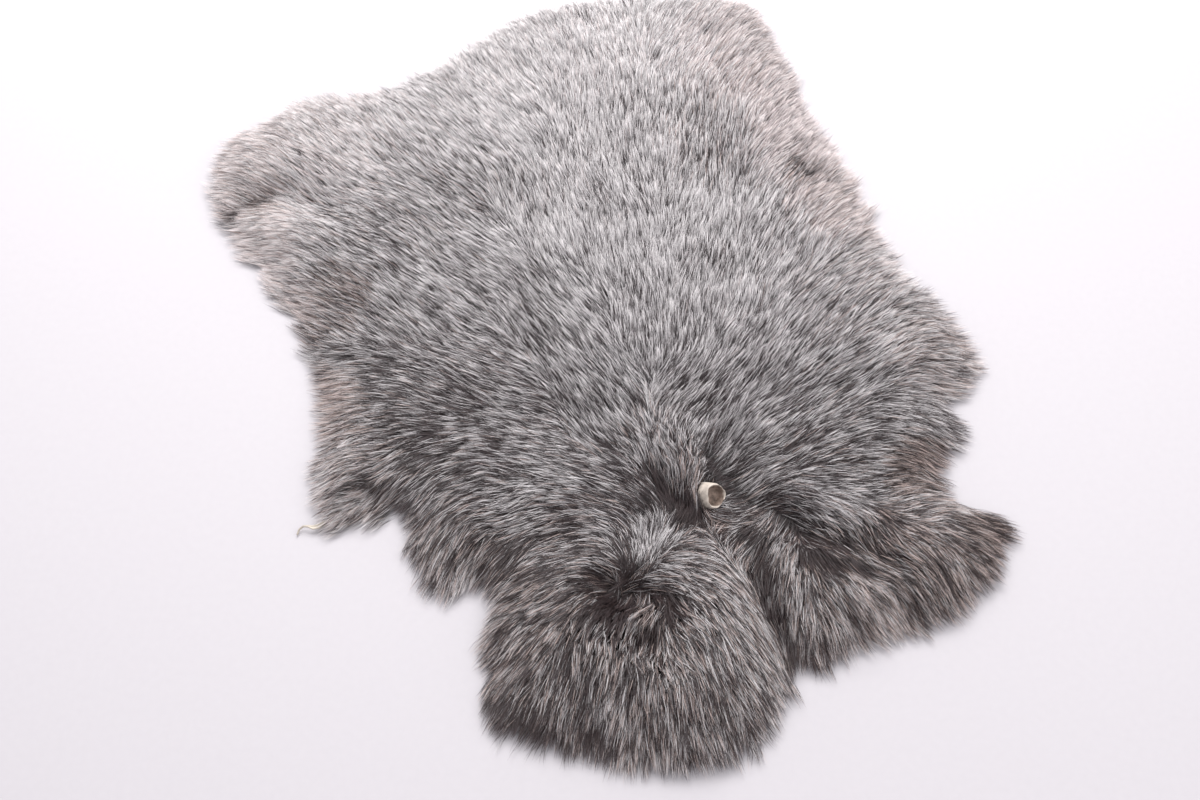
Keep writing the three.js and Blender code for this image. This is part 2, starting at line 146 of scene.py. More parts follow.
# Hollows pressed into the coat, and tufts where the depth is negative: half width and depth in
# millimetres and the share of painted shade that darkens the hairs in them, then their run in the picture
HOLLOWS = {
    "right of the tail": (5.0, 8.0, 0.95, ((716, 448), (732, 466), (748, 486), (766, 501))),
    "tail pocket": (4.5, 7.0, 0.95, ((764, 504), (790, 520))),
    "brown pocket": (4.0, 5.0, 0.8, ((788, 524), (812, 538))),
    "curly crease": (4.0, 5.0, 0.9, ((802, 568), (835, 577), (872, 577))),
    "front of the stub": (5.0, -2.0, 0.0, ((706, 516), (722, 512))),
    "left of the stub": (4.5, 4.0, 0.8, ((676, 494), (686, 514))),
    "tuft over the tail": (6.0, -3.0, 0.0, ((664, 436), (684, 458), (696, 474))),
    "whorl": (6.0, 7.0, 1.0, ((602, 590), (620, 606))),
    "below the whorl": (6.0, 2.0, 0.75, ((606, 610), (612, 640))),
    "tuft under the whorl": (4.5, -2.8, 0.0, ((656, 620), (630, 638))),
    "behind the stub": (5.0, 2.5, 0.75, ((652, 470), (664, 494))),
    "right of the whorl": (4.5, 5.0, 0.85, ((626, 600), (652, 604), (668, 612))),
    "pocket": (4.0, 7.0, 1.0, ((680, 619), (671, 627))),
    "pocket low": (3.5, 5.0, 0.9, ((652, 652), (640, 656))),
    "lobe valley": (4.0, 7.0, 0.7, ((744, 532), (762, 575), (780, 622), (800, 664))),
    "right lobe notch": (3.0, 4.0, 0.4, ((855, 613), (868, 637))),
    "right lobe right fold": (3.5, 3.0, 0.3, ((905, 590), (925, 625))),
    "left crease": (3.5, 4.0, 0.7, ((352, 485), (386, 497))),
    "left notch": (4.0, 3.0, 0.4, ((396, 506), (404, 520))),
    "foreleg fold": (3.5, 3.2, 0.5, ((212, 213), (232, 196), (256, 188))),
    "cleft": (3.0, 4.0, 0.5, ((799, 147), (816, 170))),
    "rump notch": (3.5, 3.0, 0.4, ((560, 756), (585, 742))),
}

# Tone of the coat at named places, set until the render came near the photograph in
# lightness there: picture x and y, reach in millimetres, lightness of the hairs from 0 to 1, share
# of brown hairs and share of cream hairs
# The darkest tones, at the whorl, the pocket, the cleft, folds, crease and notch and round the tail stub,
# are painted shade in the hairs' colour
TONES = {
    "neck middle": (640, 30, 45, 0.96, 0, 0.15),
    "neck left": (520, 60, 35, 1.0, 0, 0.15),
    "neck right": (740, 40, 35, 0.93, 0.1, 0.6),
    "belly band high": (800, 120, 22, 0.97, 0, 0.85),
    "belly band low": (848, 195, 20, 0.9, 0.2, 0.6),
    # Painted shade in the cleft; the brown share is the hairs' own colour
    "cleft": (808, 158, 8, 0.55, 0.4, 0.2),
    "withers": (595, 145, 50, 0.74, 0, 0.05),
    "spine": (640, 230, 40, 0.77, 0, 0),
    "spine low": (650, 330, 35, 0.54, 0, 0),
    "tail root": (655, 430, 20, 0.5, 0.1, 0.05),
    "left shoulder": (330, 155, 30, 1.0, 0.05, 0.3),
    "foreleg corner": (240, 160, 22, 0.96, 0.15, 0.45),
    # Painted shade in the fold; the brown share is the hairs' own colour
    "foreleg fold": (245, 197, 7, 0.72, 0.6, 0.05),
    "left belly band": (250, 228, 16, 0.97, 0.15, 0.45),
    "left band shade": (330, 290, 15, 0.42, 0.4, 0.05),
    "left flank high": (400, 200, 40, 0.56, 0.08, 0),
    "left flank": (450, 280, 40, 0.57, 0, 0),
    "left flank middle": (425, 350, 30, 0.35, 0.08, 0),
    "left edge": (315, 400, 14, 0.62, 0.6, 0.1),
    "left flank low": (450, 460, 30, 0.22, 0.12, 0),
    "left hip": (520, 475, 24, 0.44, 0.08, 0),
    "hip": (560, 540, 22, 0.24, 0.2, 0),
    "left point": (335, 475, 18, 0.6, 0.3, 0.1),
    "left lobe": (430, 550, 18, 0.32, 0.4, 0.05),
    "right shoulder": (760, 280, 40, 0.68, 0, 0.05),
    "right side": (860, 290, 26, 0.58, 0.1, 0.1),
    "right flank": (750, 400, 35, 0.42, 0, 0),
    "right flank outer": (850, 400, 30, 0.42, 0.05, 0),
    "right point": (944, 350, 16, 0.66, 0.3, 0.12),
    "right edge": (928, 462, 10, 0.36, 0.9, 0),
    "right flank low": (800, 470, 25, 0.32, 0.08, 0),
    "beside the tail": (690, 462, 10, 0.58, 0.45, 0.05),
    "fan": (655, 530, 11, 0.54, 0, 0),
    # Whorl and pocket: painted shade in their pits, with the whorl's own dark roots
    "whorl": (617, 592, 13, 0.02, 0.4, 0),
    "pocket": (660, 636, 9, 0.12, 0.4, 0),
    "rump lobe left": (520, 620, 20, 0.3, 0.5, 0),
    "rump lobe middle": (640, 705, 28, 0.43, 0.35, 0),
    "rump lobe right": (740, 650, 25, 0.43, 0.35, 0),
    "rump lobe corner": (522, 756, 16, 0.06, 0.45, 0),
    "rump lobe bottom": (650, 755, 20, 0.26, 0.4, 0.05),
    "right lobe left": (780, 590, 18, 0.42, 0.35, 0),
    "right lobe middle": (870, 605, 18, 0.46, 0.45, 0),
    "right lobe right": (945, 570, 20, 0.25, 0.6, 0),
    "right lobe tip": (1000, 532, 10, 0.18, 0.9, 0),
    "upper left": (440, 125, 26, 0.93, 0, 0.12),
    "right of the withers": (703, 130, 26, 0.5, 0.05, 0.15),
    "left of the spine": (500, 230, 18, 0.8, 0, 0),
    "right shoulder rim": (882, 264, 13, 0.84, 0.15, 0.3),
    # Painted shade in the hollows and gaps round the tail stub
    "left of the tail": (640, 480, 12, 0.1, 0.15, 0),
    "upper left of the tail": (628, 438, 13, 0.14, 0.05, 0),
    "below the tail": (764, 514, 14, 0.13, 0.3, 0),
    "right of the fan": (688, 570, 14, 0.34, 0.25, 0),
    "hip rim": (484, 560, 12, 0.14, 0.45, 0),
    "left lobe rim": (456, 588, 8, 0.6, 0.3, 0.05),
    # Painted shade round the whorl's hollow
    "below the whorl": (605, 640, 17, 0.06, 0.35, 0),
    "left of the whorl": (582, 604, 14, 0.14, 0.45, 0),
    "rump lobe low left": (570, 705, 18, 0.16, 0.35, 0),
    # Painted shade in the fold and in the crease
    "right flank fold": (826, 446, 20, 0.16, 0.15, 0),
    "curly crease": (828, 576, 16, 0.04, 0.45, 0),
    "rump lobe low right": (720, 738, 13, 0.22, 0.35, 0),
    "above the crease": (846, 524, 8, 0.6, 0.2, 0),
    "right lobe corner": (812, 662, 10, 0.2, 0.4, 0),
    # Painted shade of the notch
    "rump notch": (598, 764, 14, 0.02, 0.4, 0),
    "tuft under the whorl": (638, 634, 6, 0.66, 0.7, 0.15),
    "rump left rim": (484, 618, 8, 0.48, 0.35, 0.1),
    "right side band": (770, 333, 18, 0.32, 0, 0),
    "right of the spine": (690, 374, 12, 0.34, 0, 0),
    "left of the low spine": (598, 402, 14, 0.34, 0, 0),
    "over the tail": (664, 464, 9, 0.66, 0.15, 0.05),
    # Painted shade in the hollow beside the stub
    "left of the stub": (686, 506, 7, 0.05, 0.4, 0),
    "front of the stub": (712, 517, 6, 0.45, 0.5, 0.05),
    "right leg": (950, 510, 12, 0.5, 0.4, 0.05),
    "left flank top": (304, 230, 10, 0.6, 0.1, 0.1),
    "left flank streak": (470, 416, 14, 0.44, 0.05, 0),
    "left band low": (298, 288, 8, 0.8, 0.3, 0.3),
}

# Places where the wisps of the rim are shorter or longer than elsewhere: picture x and y, reach in
# millimetres and the change as a share
WISPS = {
    "right leg notch": (977, 501, 8.0, -0.8),
    "right leg crook": (946, 486, 5.0, 0.2),
    "right flank notch": (976, 412, 5.0, -0.3),
    "right lobe end": (1024, 560, 9.0, -0.6),
    "right lobe low": (1003, 604, 9.0, -0.45),
    "right lobe corner": (1016, 524, 6.0, 0.5),
    "valley": (806, 690, 6.0, -0.6),
    "valley right": (822, 672, 9.0, 0.5),
    "left notch": (384, 522, 4.0, -0.6),
    "left lobe notch": (474, 614, 7.0, -0.8),
    "rump left": (486, 650, 12.0, 0.4),
    "rump bottom left": (560, 768, 16.0, -0.05),
    "rump right": (786, 725, 12.0, -0.3),
    "rump bottom middle": (608, 776, 8.0, 0.5),
    "rump bottom": (700, 790, 16.0, -0.3),
    "foreleg corner": (207, 195, 14.0, 0.05),
    "foreleg corner high": (224, 132, 7.0, 0.7),
    "upper left": (330, 95, 30.0, 0.8),
    "upper right": (855, 190, 26.0, 0.35),
    "neck right": (797, 84, 10.0, 0.8),
    "left flank": (262, 290, 26.0, 0.25),
    "left flank low": (312, 372, 12.0, 0.5),
}

# The grid that the shape and the tone of the coat are read from
GRID_STEP = 2.0
GRID_LOW = np.array((-214.0, -244.0))
GRID_COUNT = np.array((215, 245))
RAY_START = 0.2
MESH_SMOOTHING = 2.6

# The tail stub: its axis in millimetres from the hide up, and the same axis's plan in the solids
STUB_FOOT = np.array((47.1, -80.2, 0.5))
STUB_LEAN = np.array((0.52, -0.44, 0.73)) / 0.9985
STUB_LENGTH = 20.2
STUB_SOLID_RUN = np.array(((44.65, -82.14), (58.2, -91.6)))
STUB_RADIUS = 5.9
STUB_WALL = 0.9
STUB_CUT = 1.0
STUB_MOUTH_WAY = (0.78, 0.32, -0.53)
STUB_CLEAR = 5.9
STUB_BARE = 6.0
STUB_SIDES = 40
STUB_STEP = 2.0
STUB_LIP = 0.5
STUB_HOLLOW_STEPS = 4
STUB_HOLLOW_STEP = 0.8
STUB_HOLLOW_TAPER = 0.94
STUB_HOLLOW_END = 1.2

# The bare strip at the left point: picture x and y, half width and height in millimetres
STRIP = (
    (331, 520, 0.9, 2.4), (324, 523, 0.9, 2.2), (318, 527, 1.2, 2.0), (313, 528, 1.0, 2.0),
    (308, 526, 0.4, 2.6), (303, 526, 0.35, 2.2), (299, 529, 0.35, 1.4), (297, 535, 0.2, 1.0),
)

# The closed sheets: spokes round the heart, rings from rim to rim, and how far the underfur's rim
# lies inside the coat's, its lower face above the floor and in the hide, in millimetres
SHEET_SPOKES = 224
HIDE_RINGS = 56
UNDERFUR_RINGS = 64
UNDERFUR_INSET = 1.5
UNDERFUR_CLEAR = 0.35
UNDERFUR_SINK = 0.15

# The coat past its rim: its height far out, the rise from there to the rim and how far that fades
EDGE_HEIGHT = 0.8
EDGE_RISE = 5.4
EDGE_FADE = 6.5
LEAST_PILE = 2.5

# How far from the solid stub, in millimetres, the heights of the coat and of the hide are trusted
COAT_FROM_STUB = 7
HIDE_FROM_STUB = 8

# Hairs, in millimetres: middle and half width of the second net that follows the rim, heights of
# pile between which the hairs turn shaggy, lowest places of a hair and depth of its root
FRINGE_MIDDLE = -3
FRINGE_HALF = 9
SHAG_PILE = (13, 22)
LOWEST_TIP = 0.4
LOWEST_KNEE = 0.3
LOWEST_ROOT = 0.25
ROOT_DEPTH = 0.8
ROOT_PAST_RIM = 0.6
LEAST_RISE = 0.3
# Width of a bunch in locks, and share of a hair's length at which its knee lies
BUNCH_WIDTH = 3.1
KNEE_AT = 0.45

# The stage: floor in metres, tints of its grain, light of the room, and each softbox with its
# place, aim and size in metres and its power in watts
FLOOR_SIZE = 6
FLOOR_TINTS = ((0.0, (0.405, 0.385, 0.40)), (1.0, (0.425, 0.405, 0.42)))
ROOM_COLOUR = (0.97, 0.96, 1.0, 1)
ROOM_STRENGTH = 1.15
SOFTBOXES = (
    ("softbox over the neck", (-0.05, 0.65, 0.8), (0, 0.12, 0), 0.7, 17.0),
    ("softbox on the right", (1.2, -0.2, 0.9), (0, 0, 0), 0.8, 6.0),
)

# Bands of the coat from the neck to the rump, each made as one mesh, by their lowest y
COAT_BANDS = (
    ("coat_neck", 128.0),
    ("coat_shoulders", 68.0),
    ("coat_back", 12.0),
    ("coat_flanks", -44.0),
    ("coat_hips", -106.0),
    ("coat_rump", -260.0),
)
PALETTE_ROWS = 3
CHART_WIDTH = 0.006


def linear(red, green, blue):
    """A screen colour, 0 to 255, as Blender's linear colour."""
    shares = np.array((red, green, blue)) / 255
    bright = ((shares + 0.055) / 1.055) ** 2.4
    return tuple(float(v) for v in np.where(shares <= 0.04045, shares / 12.92, bright))


# Plan geometry

def smoothstep(value, low, high):
    share = np.clip((value - low) / (high - low), 0, 1)
    return share * share * (3 - 2 * share)


def picture_to_plan(x, y, height=12.0):
    """The plan place in millimetres that the photograph shows at a pixel, at a height."""
    right = (x - PICTURE_WIDTH / 2) / FOCAL_PIXELS
    down = (y - PICTURE_HEIGHT / 2) / FOCAL_PIXELS
    sine = math.sin(CAMERA_ELEVATION)
    cosine = math.cos(CAMERA_ELEVATION)
    way = (right, cosine - down * sine, -sine - down * cosine)
    run = (height - CAMERA_PLACE_MM[2]) / way[2]
    return CAMERA_PLACE_MM[0] + way[0] * run, CAMERA_PLACE_MM[1] + way[1] * run


def picture_to_heading(angle):
    """The plan direction of a hair that rises by FLOW_FALL and looks turned by an angle."""
    sine = math.sin(CAMERA_ELEVATION)
    lift = FLOW_FALL * math.cos(CAMERA_ELEVATION)
    along = math.cos(angle)
    upward = math.sin(angle)
    square = along ** 2 + (upward / sine) ** 2
    half = upward * lift / sine ** 2
    rest = (lift / sine) ** 2 - 1
    run = (half + math.sqrt(half ** 2 - square * rest)) / square
    return run * along, (run * upward - lift) / sine


def rim_places(count):
    """Evenly spaced places on the smooth closed curve through the rim's corners."""
    corners = np.array(RIM, float) + RIM_SHIFT
    before, start, end, after = (np.roll(corners, shift, axis=0) for shift in (1, 0, -1, -2))
    gaps = [np.sqrt(np.linalg.norm(b - a, axis=1))[:, None] for a, b in
            ((before, start), (start, end), (end, after))]
    knots = [np.zeros_like(gaps[0])]
    for gap in gaps:
        knots.append(knots[-1] + gap)

    def between(a, b, low, high, at):
        return ((high - at) * a + (at - low) * b) / (high - low)

    fine = []
    for share in np.linspace(0, 1, RIM_FINE, endpoint=False):
        at = knots[1] + share * (knots[2] - knots[1])
        first = between(before, start, knots[0], knots[1], at)
        second = between(start, end, knots[1], knots[2], at)
        third = between(end, after, knots[2], knots[3], at)
        left = between(first, second, knots[0], knots[2], at)
        right = between(second, third, knots[1], knots[3], at)
        fine.append(between(left, right, knots[1], knots[2], at))
    curve = np.stack(fine, axis=1).reshape(-1, 2)
    closed = np.vstack([curve, curve[:1]])
    run = np.concatenate([[0], np.cumsum(np.linalg.norm(np.diff(closed, axis=0), axis=1))])
    even = np.linspace(0, run[-1], count, endpoint=False)
    return np.stack([np.interp(even, run, closed[:, axis]) for axis in (0, 1)], axis=1)


def run_distance(places, run):
    """Distance to an open run of plan places."""
    nearest = np.full(len(places), np.inf)
    for start, end in zip(run[:-1], run[1:]):
        side = end - start
        share = np.clip((places - start) @ side / (side @ side), 0, 1)
        nearest = np.minimum(nearest, np.linalg.norm(places - start - share[:, None] * side, axis=1))
    return nearest


def distance_inside(places, outline):
    """Distance to a closed outline, positive inside it and negative outside."""
    start = outline
    side = np.roll(outline, -1, axis=0) - start
    result = np.empty(len(places))
    for low in range(0, len(places), 4000):
        part = places[low:low + 4000]
        offset = part[:, None] - start[None]
        share = np.clip((offset * side).sum(2) / (side ** 2).sum(1), 0, 1)
        gap = np.linalg.norm(offset - share[..., None] * side, axis=2).min(1)
        x, y = part[:, 0, None], part[:, 1, None]
        above = start[:, 1] > y
        crossing = above != np.roll(above, -1, axis=1)
        slope = np.where(side[:, 1] == 0, 1e-9, side[:, 1])
        hit = x < start[:, 0] + (y - start[:, 1]) * side[:, 0] / slope
        inside = (crossing & hit).sum(1) % 2 == 1
        result[low:low + 4000] = np.where(inside, gap, -gap)
    return result


def grid_places():
    columns = GRID_LOW[0] + GRID_STEP * np.arange(GRID_COUNT[0])
    rows = GRID_LOW[1] + GRID_STEP * np.arange(GRID_COUNT[1])
    x, y = np.meshgrid(columns, rows, indexing="ij")
    return np.stack([x.ravel(), y.ravel()], axis=1)


def read(field, places):
    """Values of a grid field between its points."""
    spot = np.clip((places - GRID_LOW) / GRID_STEP, 0, GRID_COUNT - 1.001)
    cell = spot.astype(int)
    share = spot - cell
    i, j = cell[:, 0], cell[:, 1]
    u, v = share[:, 0], share[:, 1]
    if field.ndim == 3:
        u, v = u[:, None], v[:, None]
    low = field[i, j] * (1 - u) + field[i + 1, j] * u
    high = field[i, j + 1] * (1 - u) + field[i + 1, j + 1] * u
    return low * (1 - v) + high * v


def blurred(field, reach):
    """A grid field softened over a reach in millimetres."""
    half = int(math.ceil(3 * reach / GRID_STEP))
    weights = np.exp(-0.5 * (np.arange(-half, half + 1) * GRID_STEP / reach) ** 2)
    weights /= weights.sum()
    for axis in (0, 1):
        field = np.apply_along_axis(lambda line: np.convolve(line, weights, "same"), axis, field)
    return field


def value_noise(places, length, layer):
    """Smooth noise from -1 to 1 with lumps of a length in millimetres."""
    table = np.random.default_rng(SEED + 100 + layer).uniform(-1, 1, (64, 64))
    spot = places / length + 31.7
    cell = np.floor(spot).astype(int)
    share = spot - cell
    share = share * share * (3 - 2 * share)
    i, j = cell[:, 0] % 64, cell[:, 1] % 64
    k, l = (i + 1) % 64, (j + 1) % 64
    low = table[i, j] * (1 - share[:, 0]) + table[k, j] * share[:, 0]
    high = table[i, l] * (1 - share[:, 0]) + table[k, l] * share[:, 0]
    return low * (1 - share[:, 1]) + high * share[:, 1]


def node_tree(name):
    """A search tree of a CAD node's mesh."""
    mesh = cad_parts[name].data
    return BVHTree.FromPolygons(
        [v.co.copy() for v in mesh.vertices], [tuple(p.vertices) for p in mesh.polygons]
    )


def top_heights(name, places):
    """Height in millimetres of a CAD node's upper face at each place, and where there is one."""
    tree = node_tree(name)
    down = Vector((0, 0, -1))
    heights = np.zeros(len(places))
    found = np.zeros(len(places), bool)
    for index, (x, y) in enumerate(places):
        spot = tree.ray_cast(Vector((x * MM, y * MM, RAY_START)), down)[0]
        if spot is not None:
            heights[index] = spot.z / MM
            found[index] = True
    return heights, found


class Skin:
    """The shape, the hair's way, the tone of the skin and the painted shade of its hollows as grid fields.
    """

    def __init__(self, sizes):
        places = grid_places()
        shape = tuple(GRID_COUNT)
        self.rim = rim_places(RIM_SPOKES)
        inside = distance_inside(places, self.rim[::2])
        self.inside = inside.reshape(shape)

        stub = run_distance(places, STUB_SOLID_RUN)
        coat, known = top_heights("fur_coat", places)
        trust = (known & (stub > COAT_FROM_STUB) & (inside > -1)).astype(float).reshape(shape)
        soft = blurred(trust, MESH_SMOOTHING)
        filled = blurred(coat.reshape(shape) * trust, MESH_SMOOTHING) / np.maximum(soft, 1e-6)
        filled = np.where(soft > 1e-3, filled, 6.0)
        outer = EDGE_HEIGHT + EDGE_RISE * np.exp(np.minimum(self.inside, 0) / EDGE_FADE)
        share = smoothstep(self.inside, -2, 4)
        self.top = filled * share + np.minimum(filled, outer) * (1 - share)
        # Painted shade: each hollow's dark share darkens the hairs' colour there, gathered in self.shade
        self.shade = np.zeros(shape)
        for width, depth, dark, run in HOLLOWS.values():
            place = np.array([picture_to_plan(x, y) for x, y in run])
            felt = np.exp(-((run_distance(places, place) / width) ** 2)).reshape(shape)
            self.top -= depth * felt
            self.shade = np.maximum(self.shade, dark * felt)

        hide, known = top_heights("hide", places)
        known &= stub > HIDE_FROM_STUB
        trust = known.astype(float).reshape(shape)
        soft = blurred(trust, MESH_SMOOTHING)
        filled = blurred(hide.reshape(shape) * trust, MESH_SMOOTHING) / np.maximum(soft, 1e-6)
        self.hide = np.where(soft > 1e-3, filled, sizes.hide_thickness / MM)
        self.top = np.maximum(self.top, np.minimum(self.hide + LEAST_PILE, EDGE_HEIGHT + outer))

        self.way = self.hair_way(places).reshape(shape + (2,))
        self.tone = self.hair_tone(places).reshape(shape + (3,))

    def hair_way(self, places):
        rows = [(region[0], *row) for region in FLOW.values() for row in region[1:]]
        reach = np.array([row[0] for row in rows])
        at = np.array([picture_to_plan(row[1], row[2]) for row in rows])
        heading = np.array([picture_to_heading(math.radians(row[3])) for row in rows])
        gap = np.linalg.norm(places[:, None] - at[None], axis=2)
        weight = np.exp(-((gap / reach) ** 2)) + 1e-4 / (1 + (gap / 30) ** 4)
        way = weight @ heading / weight.sum(1)[:, None]
        away = places - picture_to_plan(*WHORL)
        far = np.linalg.norm(away, axis=1)[:, None]
        way += WHORL_PULL * away / (far + 0.5) * np.exp(-((far / WHORL_REACH) ** 2))
        return way / np.linalg.norm(way, axis=1)[:, None]

    def hair_tone(self, places):
        rows = np.array(list(TONES.values()), float)
        at = np.array([picture_to_plan(row[0], row[1]) for row in rows])
        gap = np.linalg.norm(places[:, None] - at[None], axis=2)
        weight = np.exp(-((gap / rows[:, 2]) ** 2) * 2) + 1e-5 / (1 + (gap / 40) ** 4)
        return (weight @ rows[:, 3:6]) / weight.sum(1)[:, None]

    def underfur(self, places, share):
        """Height of the dense underfur, a share of the way from the hide to the hair tips."""
        hide = read(self.hide, places)
        return hide + (read(self.top, places) - hide) * share


# Scene helpers

def clear_selection():
    if bpy.context.object and bpy.context.object.mode != "OBJECT":
        bpy.ops.object.mode_set(mode="OBJECT")
    bpy.ops.object.select_all(action="DESELECT")


def vertex_places(mesh):
    flat = np.empty(len(mesh.vertices) * 3)
    mesh.vertices.foreach_get("co", flat)
    return flat.reshape(-1, 3)


def move_vertices(mesh, places_mm):
    mesh.vertices.foreach_set("co", (np.asarray(places_mm) * MM).ravel())
    mesh.update()


def new_piece(name):
    """The object that the last operator made, under its own name."""
    piece = bpy.context.object
    piece.name = name
    piece.data.name = name
    return piece


def finish_piece(piece, material):
    piece.data.materials.clear()
    piece.data.materials.append(material)
    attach(piece, "root")


def closed_sheet(name, skin, rings, inset, upper, lower):
    """A closed skin-shaped sheet: a ball whose two halves are laid on an upper and a lower height."""
    clear_selection()
    bpy.ops.mesh.primitive_uv_sphere_add(segments=SHEET_SPOKES, ring_count=rings, radius=1)
    sheet = new_piece(name)
    ball = vertex_places(sheet.data)
    turn = np.arctan2(ball[:, 1], ball[:, 0]) / (2 * math.pi) * len(skin.rim)
    number = np.round(turn).astype(int) % len(skin.rim)
    share = 1 - np.abs(np.arcsin(np.clip(ball[:, 2], -1, 1))) / (math.pi / 2)
    spoke = skin.rim[number] - HEART
    long = np.linalg.norm(spoke, axis=1)
    place = HEART + spoke * (share * (1 - inset / long))[:, None]
    on_rim = share > 0.999
    height = np.where(ball[:, 2] >= 0, upper(place), lower(place))
    height = np.where(on_rim, (upper(place) + lower(place)) / 2, height)
    move_vertices(sheet.data, np.column_stack([place, height]))
    bpy.ops.object.shade_smooth()
    return sheet


def apply_modifier(piece, kind, **settings):
    modifier = piece.modifiers.new(kind.lower(), kind)
    for name, value in settings.items():
        setattr(modifier, name, value)
    bpy.context.view_layer.objects.active = piece
    bpy.ops.object.modifier_apply(modifier=modifier.name)


def raise_face(height):
    """Draw the selected face up, or down where the height is negative."""
    bpy.ops.mesh.extrude_region_move(TRANSFORM_OT_translate={"value": (0, 0, height)})


def smooth(piece):
    clear_selection()
    piece.select_set(True)
    bpy.ops.object.shade_smooth()


def tail_stub(colours):
    """The short open tube of tail skin, which leans so that its mouth shows from the front."""
    clear_selection()
    bpy.ops.mesh.primitive_cylinder_add(vertices=STUB_SIDES, radius=STUB_RADIUS, depth=2, location=(0, 0, 0))
    stub = new_piece("tail_stub")
    bpy.ops.object.mode_set(mode="EDIT")
    bpy.ops.mesh.select_mode(type="FACE")
    bpy.ops.mesh.select_all(action="DESELECT")
    bpy.ops.object.mode_set(mode="OBJECT")
    for face in stub.data.polygons:
        face.select = face.normal.z > 0.9
    bpy.ops.object.mode_set(mode="EDIT")
    for _ in range(int((STUB_LENGTH - 2) / STUB_STEP)):
        raise_face(STUB_STEP)
    bpy.ops.mesh.inset(thickness=STUB_WALL * 0.35)
    raise_face(STUB_LIP)
    bpy.ops.mesh.inset(thickness=STUB_WALL * 0.4)
    raise_face(-STUB_LIP)
    bpy.ops.mesh.inset(thickness=STUB_WALL * 0.35)
    for _ in range(STUB_HOLLOW_STEPS):
        raise_face(-STUB_HOLLOW_STEP)
        bpy.ops.transform.resize(value=(STUB_HOLLOW_TAPER, STUB_HOLLOW_TAPER, 1.0))
    bpy.ops.mesh.inset(thickness=STUB_HOLLOW_END)
    bpy.ops.mesh.poke()
    bpy.ops.object.mode_set(mode="OBJECT")
    apply_modifier(stub, "SUBSURF", levels=2, render_levels=2)

    place = vertex_places(stub.data)
    low = place[:, 2].min()
    turn = np.arctan2(place[:, 1], place[:, 0])
    radius = np.linalg.norm(place[:, :2], axis=1)
    rise = (place[:, 2] - low) / (place[:, 2].max() - low)
    lean = Vector((0, 0, 1)).rotation_difference(Vector(STUB_LEAN)).to_matrix()
    mouth = lean.transposed() @ Vector(STUB_MOUTH_WAY)
    facing = np.cos(turn - math.atan2(mouth.y, mouth.x))
    height = (place[:, 2] - low) - STUB_CUT * (0.5 + 0.5 * facing) * rise ** 1.5
    ripple = 0.34 * np.sin(turn * 3 + 0.6) + 0.14 * np.sin(turn * 5 + height * 0.35)
    ripple += 0.08 * np.sin(turn * 11 + height * 0.8)
    radius = radius * (0.94 - 0.02 * rise) * (1 - 0.07 * facing * rise) + ripple
    around = np.column_stack([np.cos(turn) * radius, np.sin(turn) * radius, height])
    stood = around @ np.array(lean).T + STUB_FOOT
    stood[:, 2] = np.maximum(stood[:, 2], 0.5)
    move_vertices(stub.data, stood)
    smooth(stub)
    finish_piece(stub, stub_material(colours))
    return stub


def bare_strip(colours):
    """The thin wavy strip of bare hide that sticks out of the fur at the left point."""
    clear_selection()
    bpy.ops.mesh.primitive_grid_add(x_subdivisions=60, y_subdivisions=6, size=2)
    strip = new_piece("bare_strip")
    flat = vertex_places(strip.data)
    knots = np.array([(*picture_to_plan(x, y, high), half, high) for x, y, half, high in STRIP])
    run = (flat[:, 0] + 1) / 2 * (len(STRIP) - 1)
    knot = np.arange(len(STRIP))
    x, y, half, high = (np.interp(run, knot, smooth_run(knots[:, axis])) for axis in range(4))
    ahead = np.clip(run + 0.2, 0, len(STRIP) - 1)
    behind = np.clip(run - 0.2, 0, len(STRIP) - 1)
    way_x = np.interp(ahead, knot, knots[:, 0]) - np.interp(behind, knot, knots[:, 0])
    way_y = np.interp(ahead, knot, knots[:, 1]) - np.interp(behind, knot, knots[:, 1])
    length = np.hypot(way_x, way_y)
    across = flat[:, 1] * half
    curl = 0.5 * flat[:, 1] ** 2 * half
    move_vertices(strip.data, np.column_stack([
        x - way_y / length * across, y + way_x / length * across, high + curl,
    ]))
    apply_modifier(strip, "SOLIDIFY", thickness=0.0007, offset=0.0)
    apply_modifier(strip, "SUBSURF", levels=1, render_levels=1)
    smooth(strip)
    finish_piece(strip, strip_material(colours))
    return strip


def smooth_run(values):
    """A run of values with its inner ones drawn a little towards their neighbours."""
    eased = values.copy()
    eased[1:-1] = values[1:-1] * 0.8 + (values[:-2] + values[2:]) * 0.1
    return eased


# Materials

# Sockets of the Mix node for colours
MIX_FIRST = 6
MIX_SECOND = 7
MIX_RESULT = 2


def new_material(name, roughness, gloss=0.5):
    material = bpy.data.materials.new(name)
    material.use_nodes = True
    tree = material.node_tree
    tree.nodes.clear()
    output = tree.nodes.new("ShaderNodeOutputMaterial")
    shader = tree.nodes.new("ShaderNodeBsdfPrincipled")
    shader.inputs["Roughness"].default_value = roughness
    shader.inputs["Specular IOR Level"].default_value = gloss
    tree.links.new(shader.outputs["BSDF"], output.inputs["Surface"])
    return material, tree, shader


def object_place(tree):
    return tree.nodes.new("ShaderNodeTexCoord").outputs["Object"]


def feed(tree, socket, value):
    """A link from another node's output, or a constant colour or number, into a socket."""
    if isinstance(value, bpy.types.NodeSocket):
        tree.links.new(value, socket)
    elif socket.type == "RGBA":
        socket.default_value = (*value[:3], 1)
    else:
        socket.default_value = value


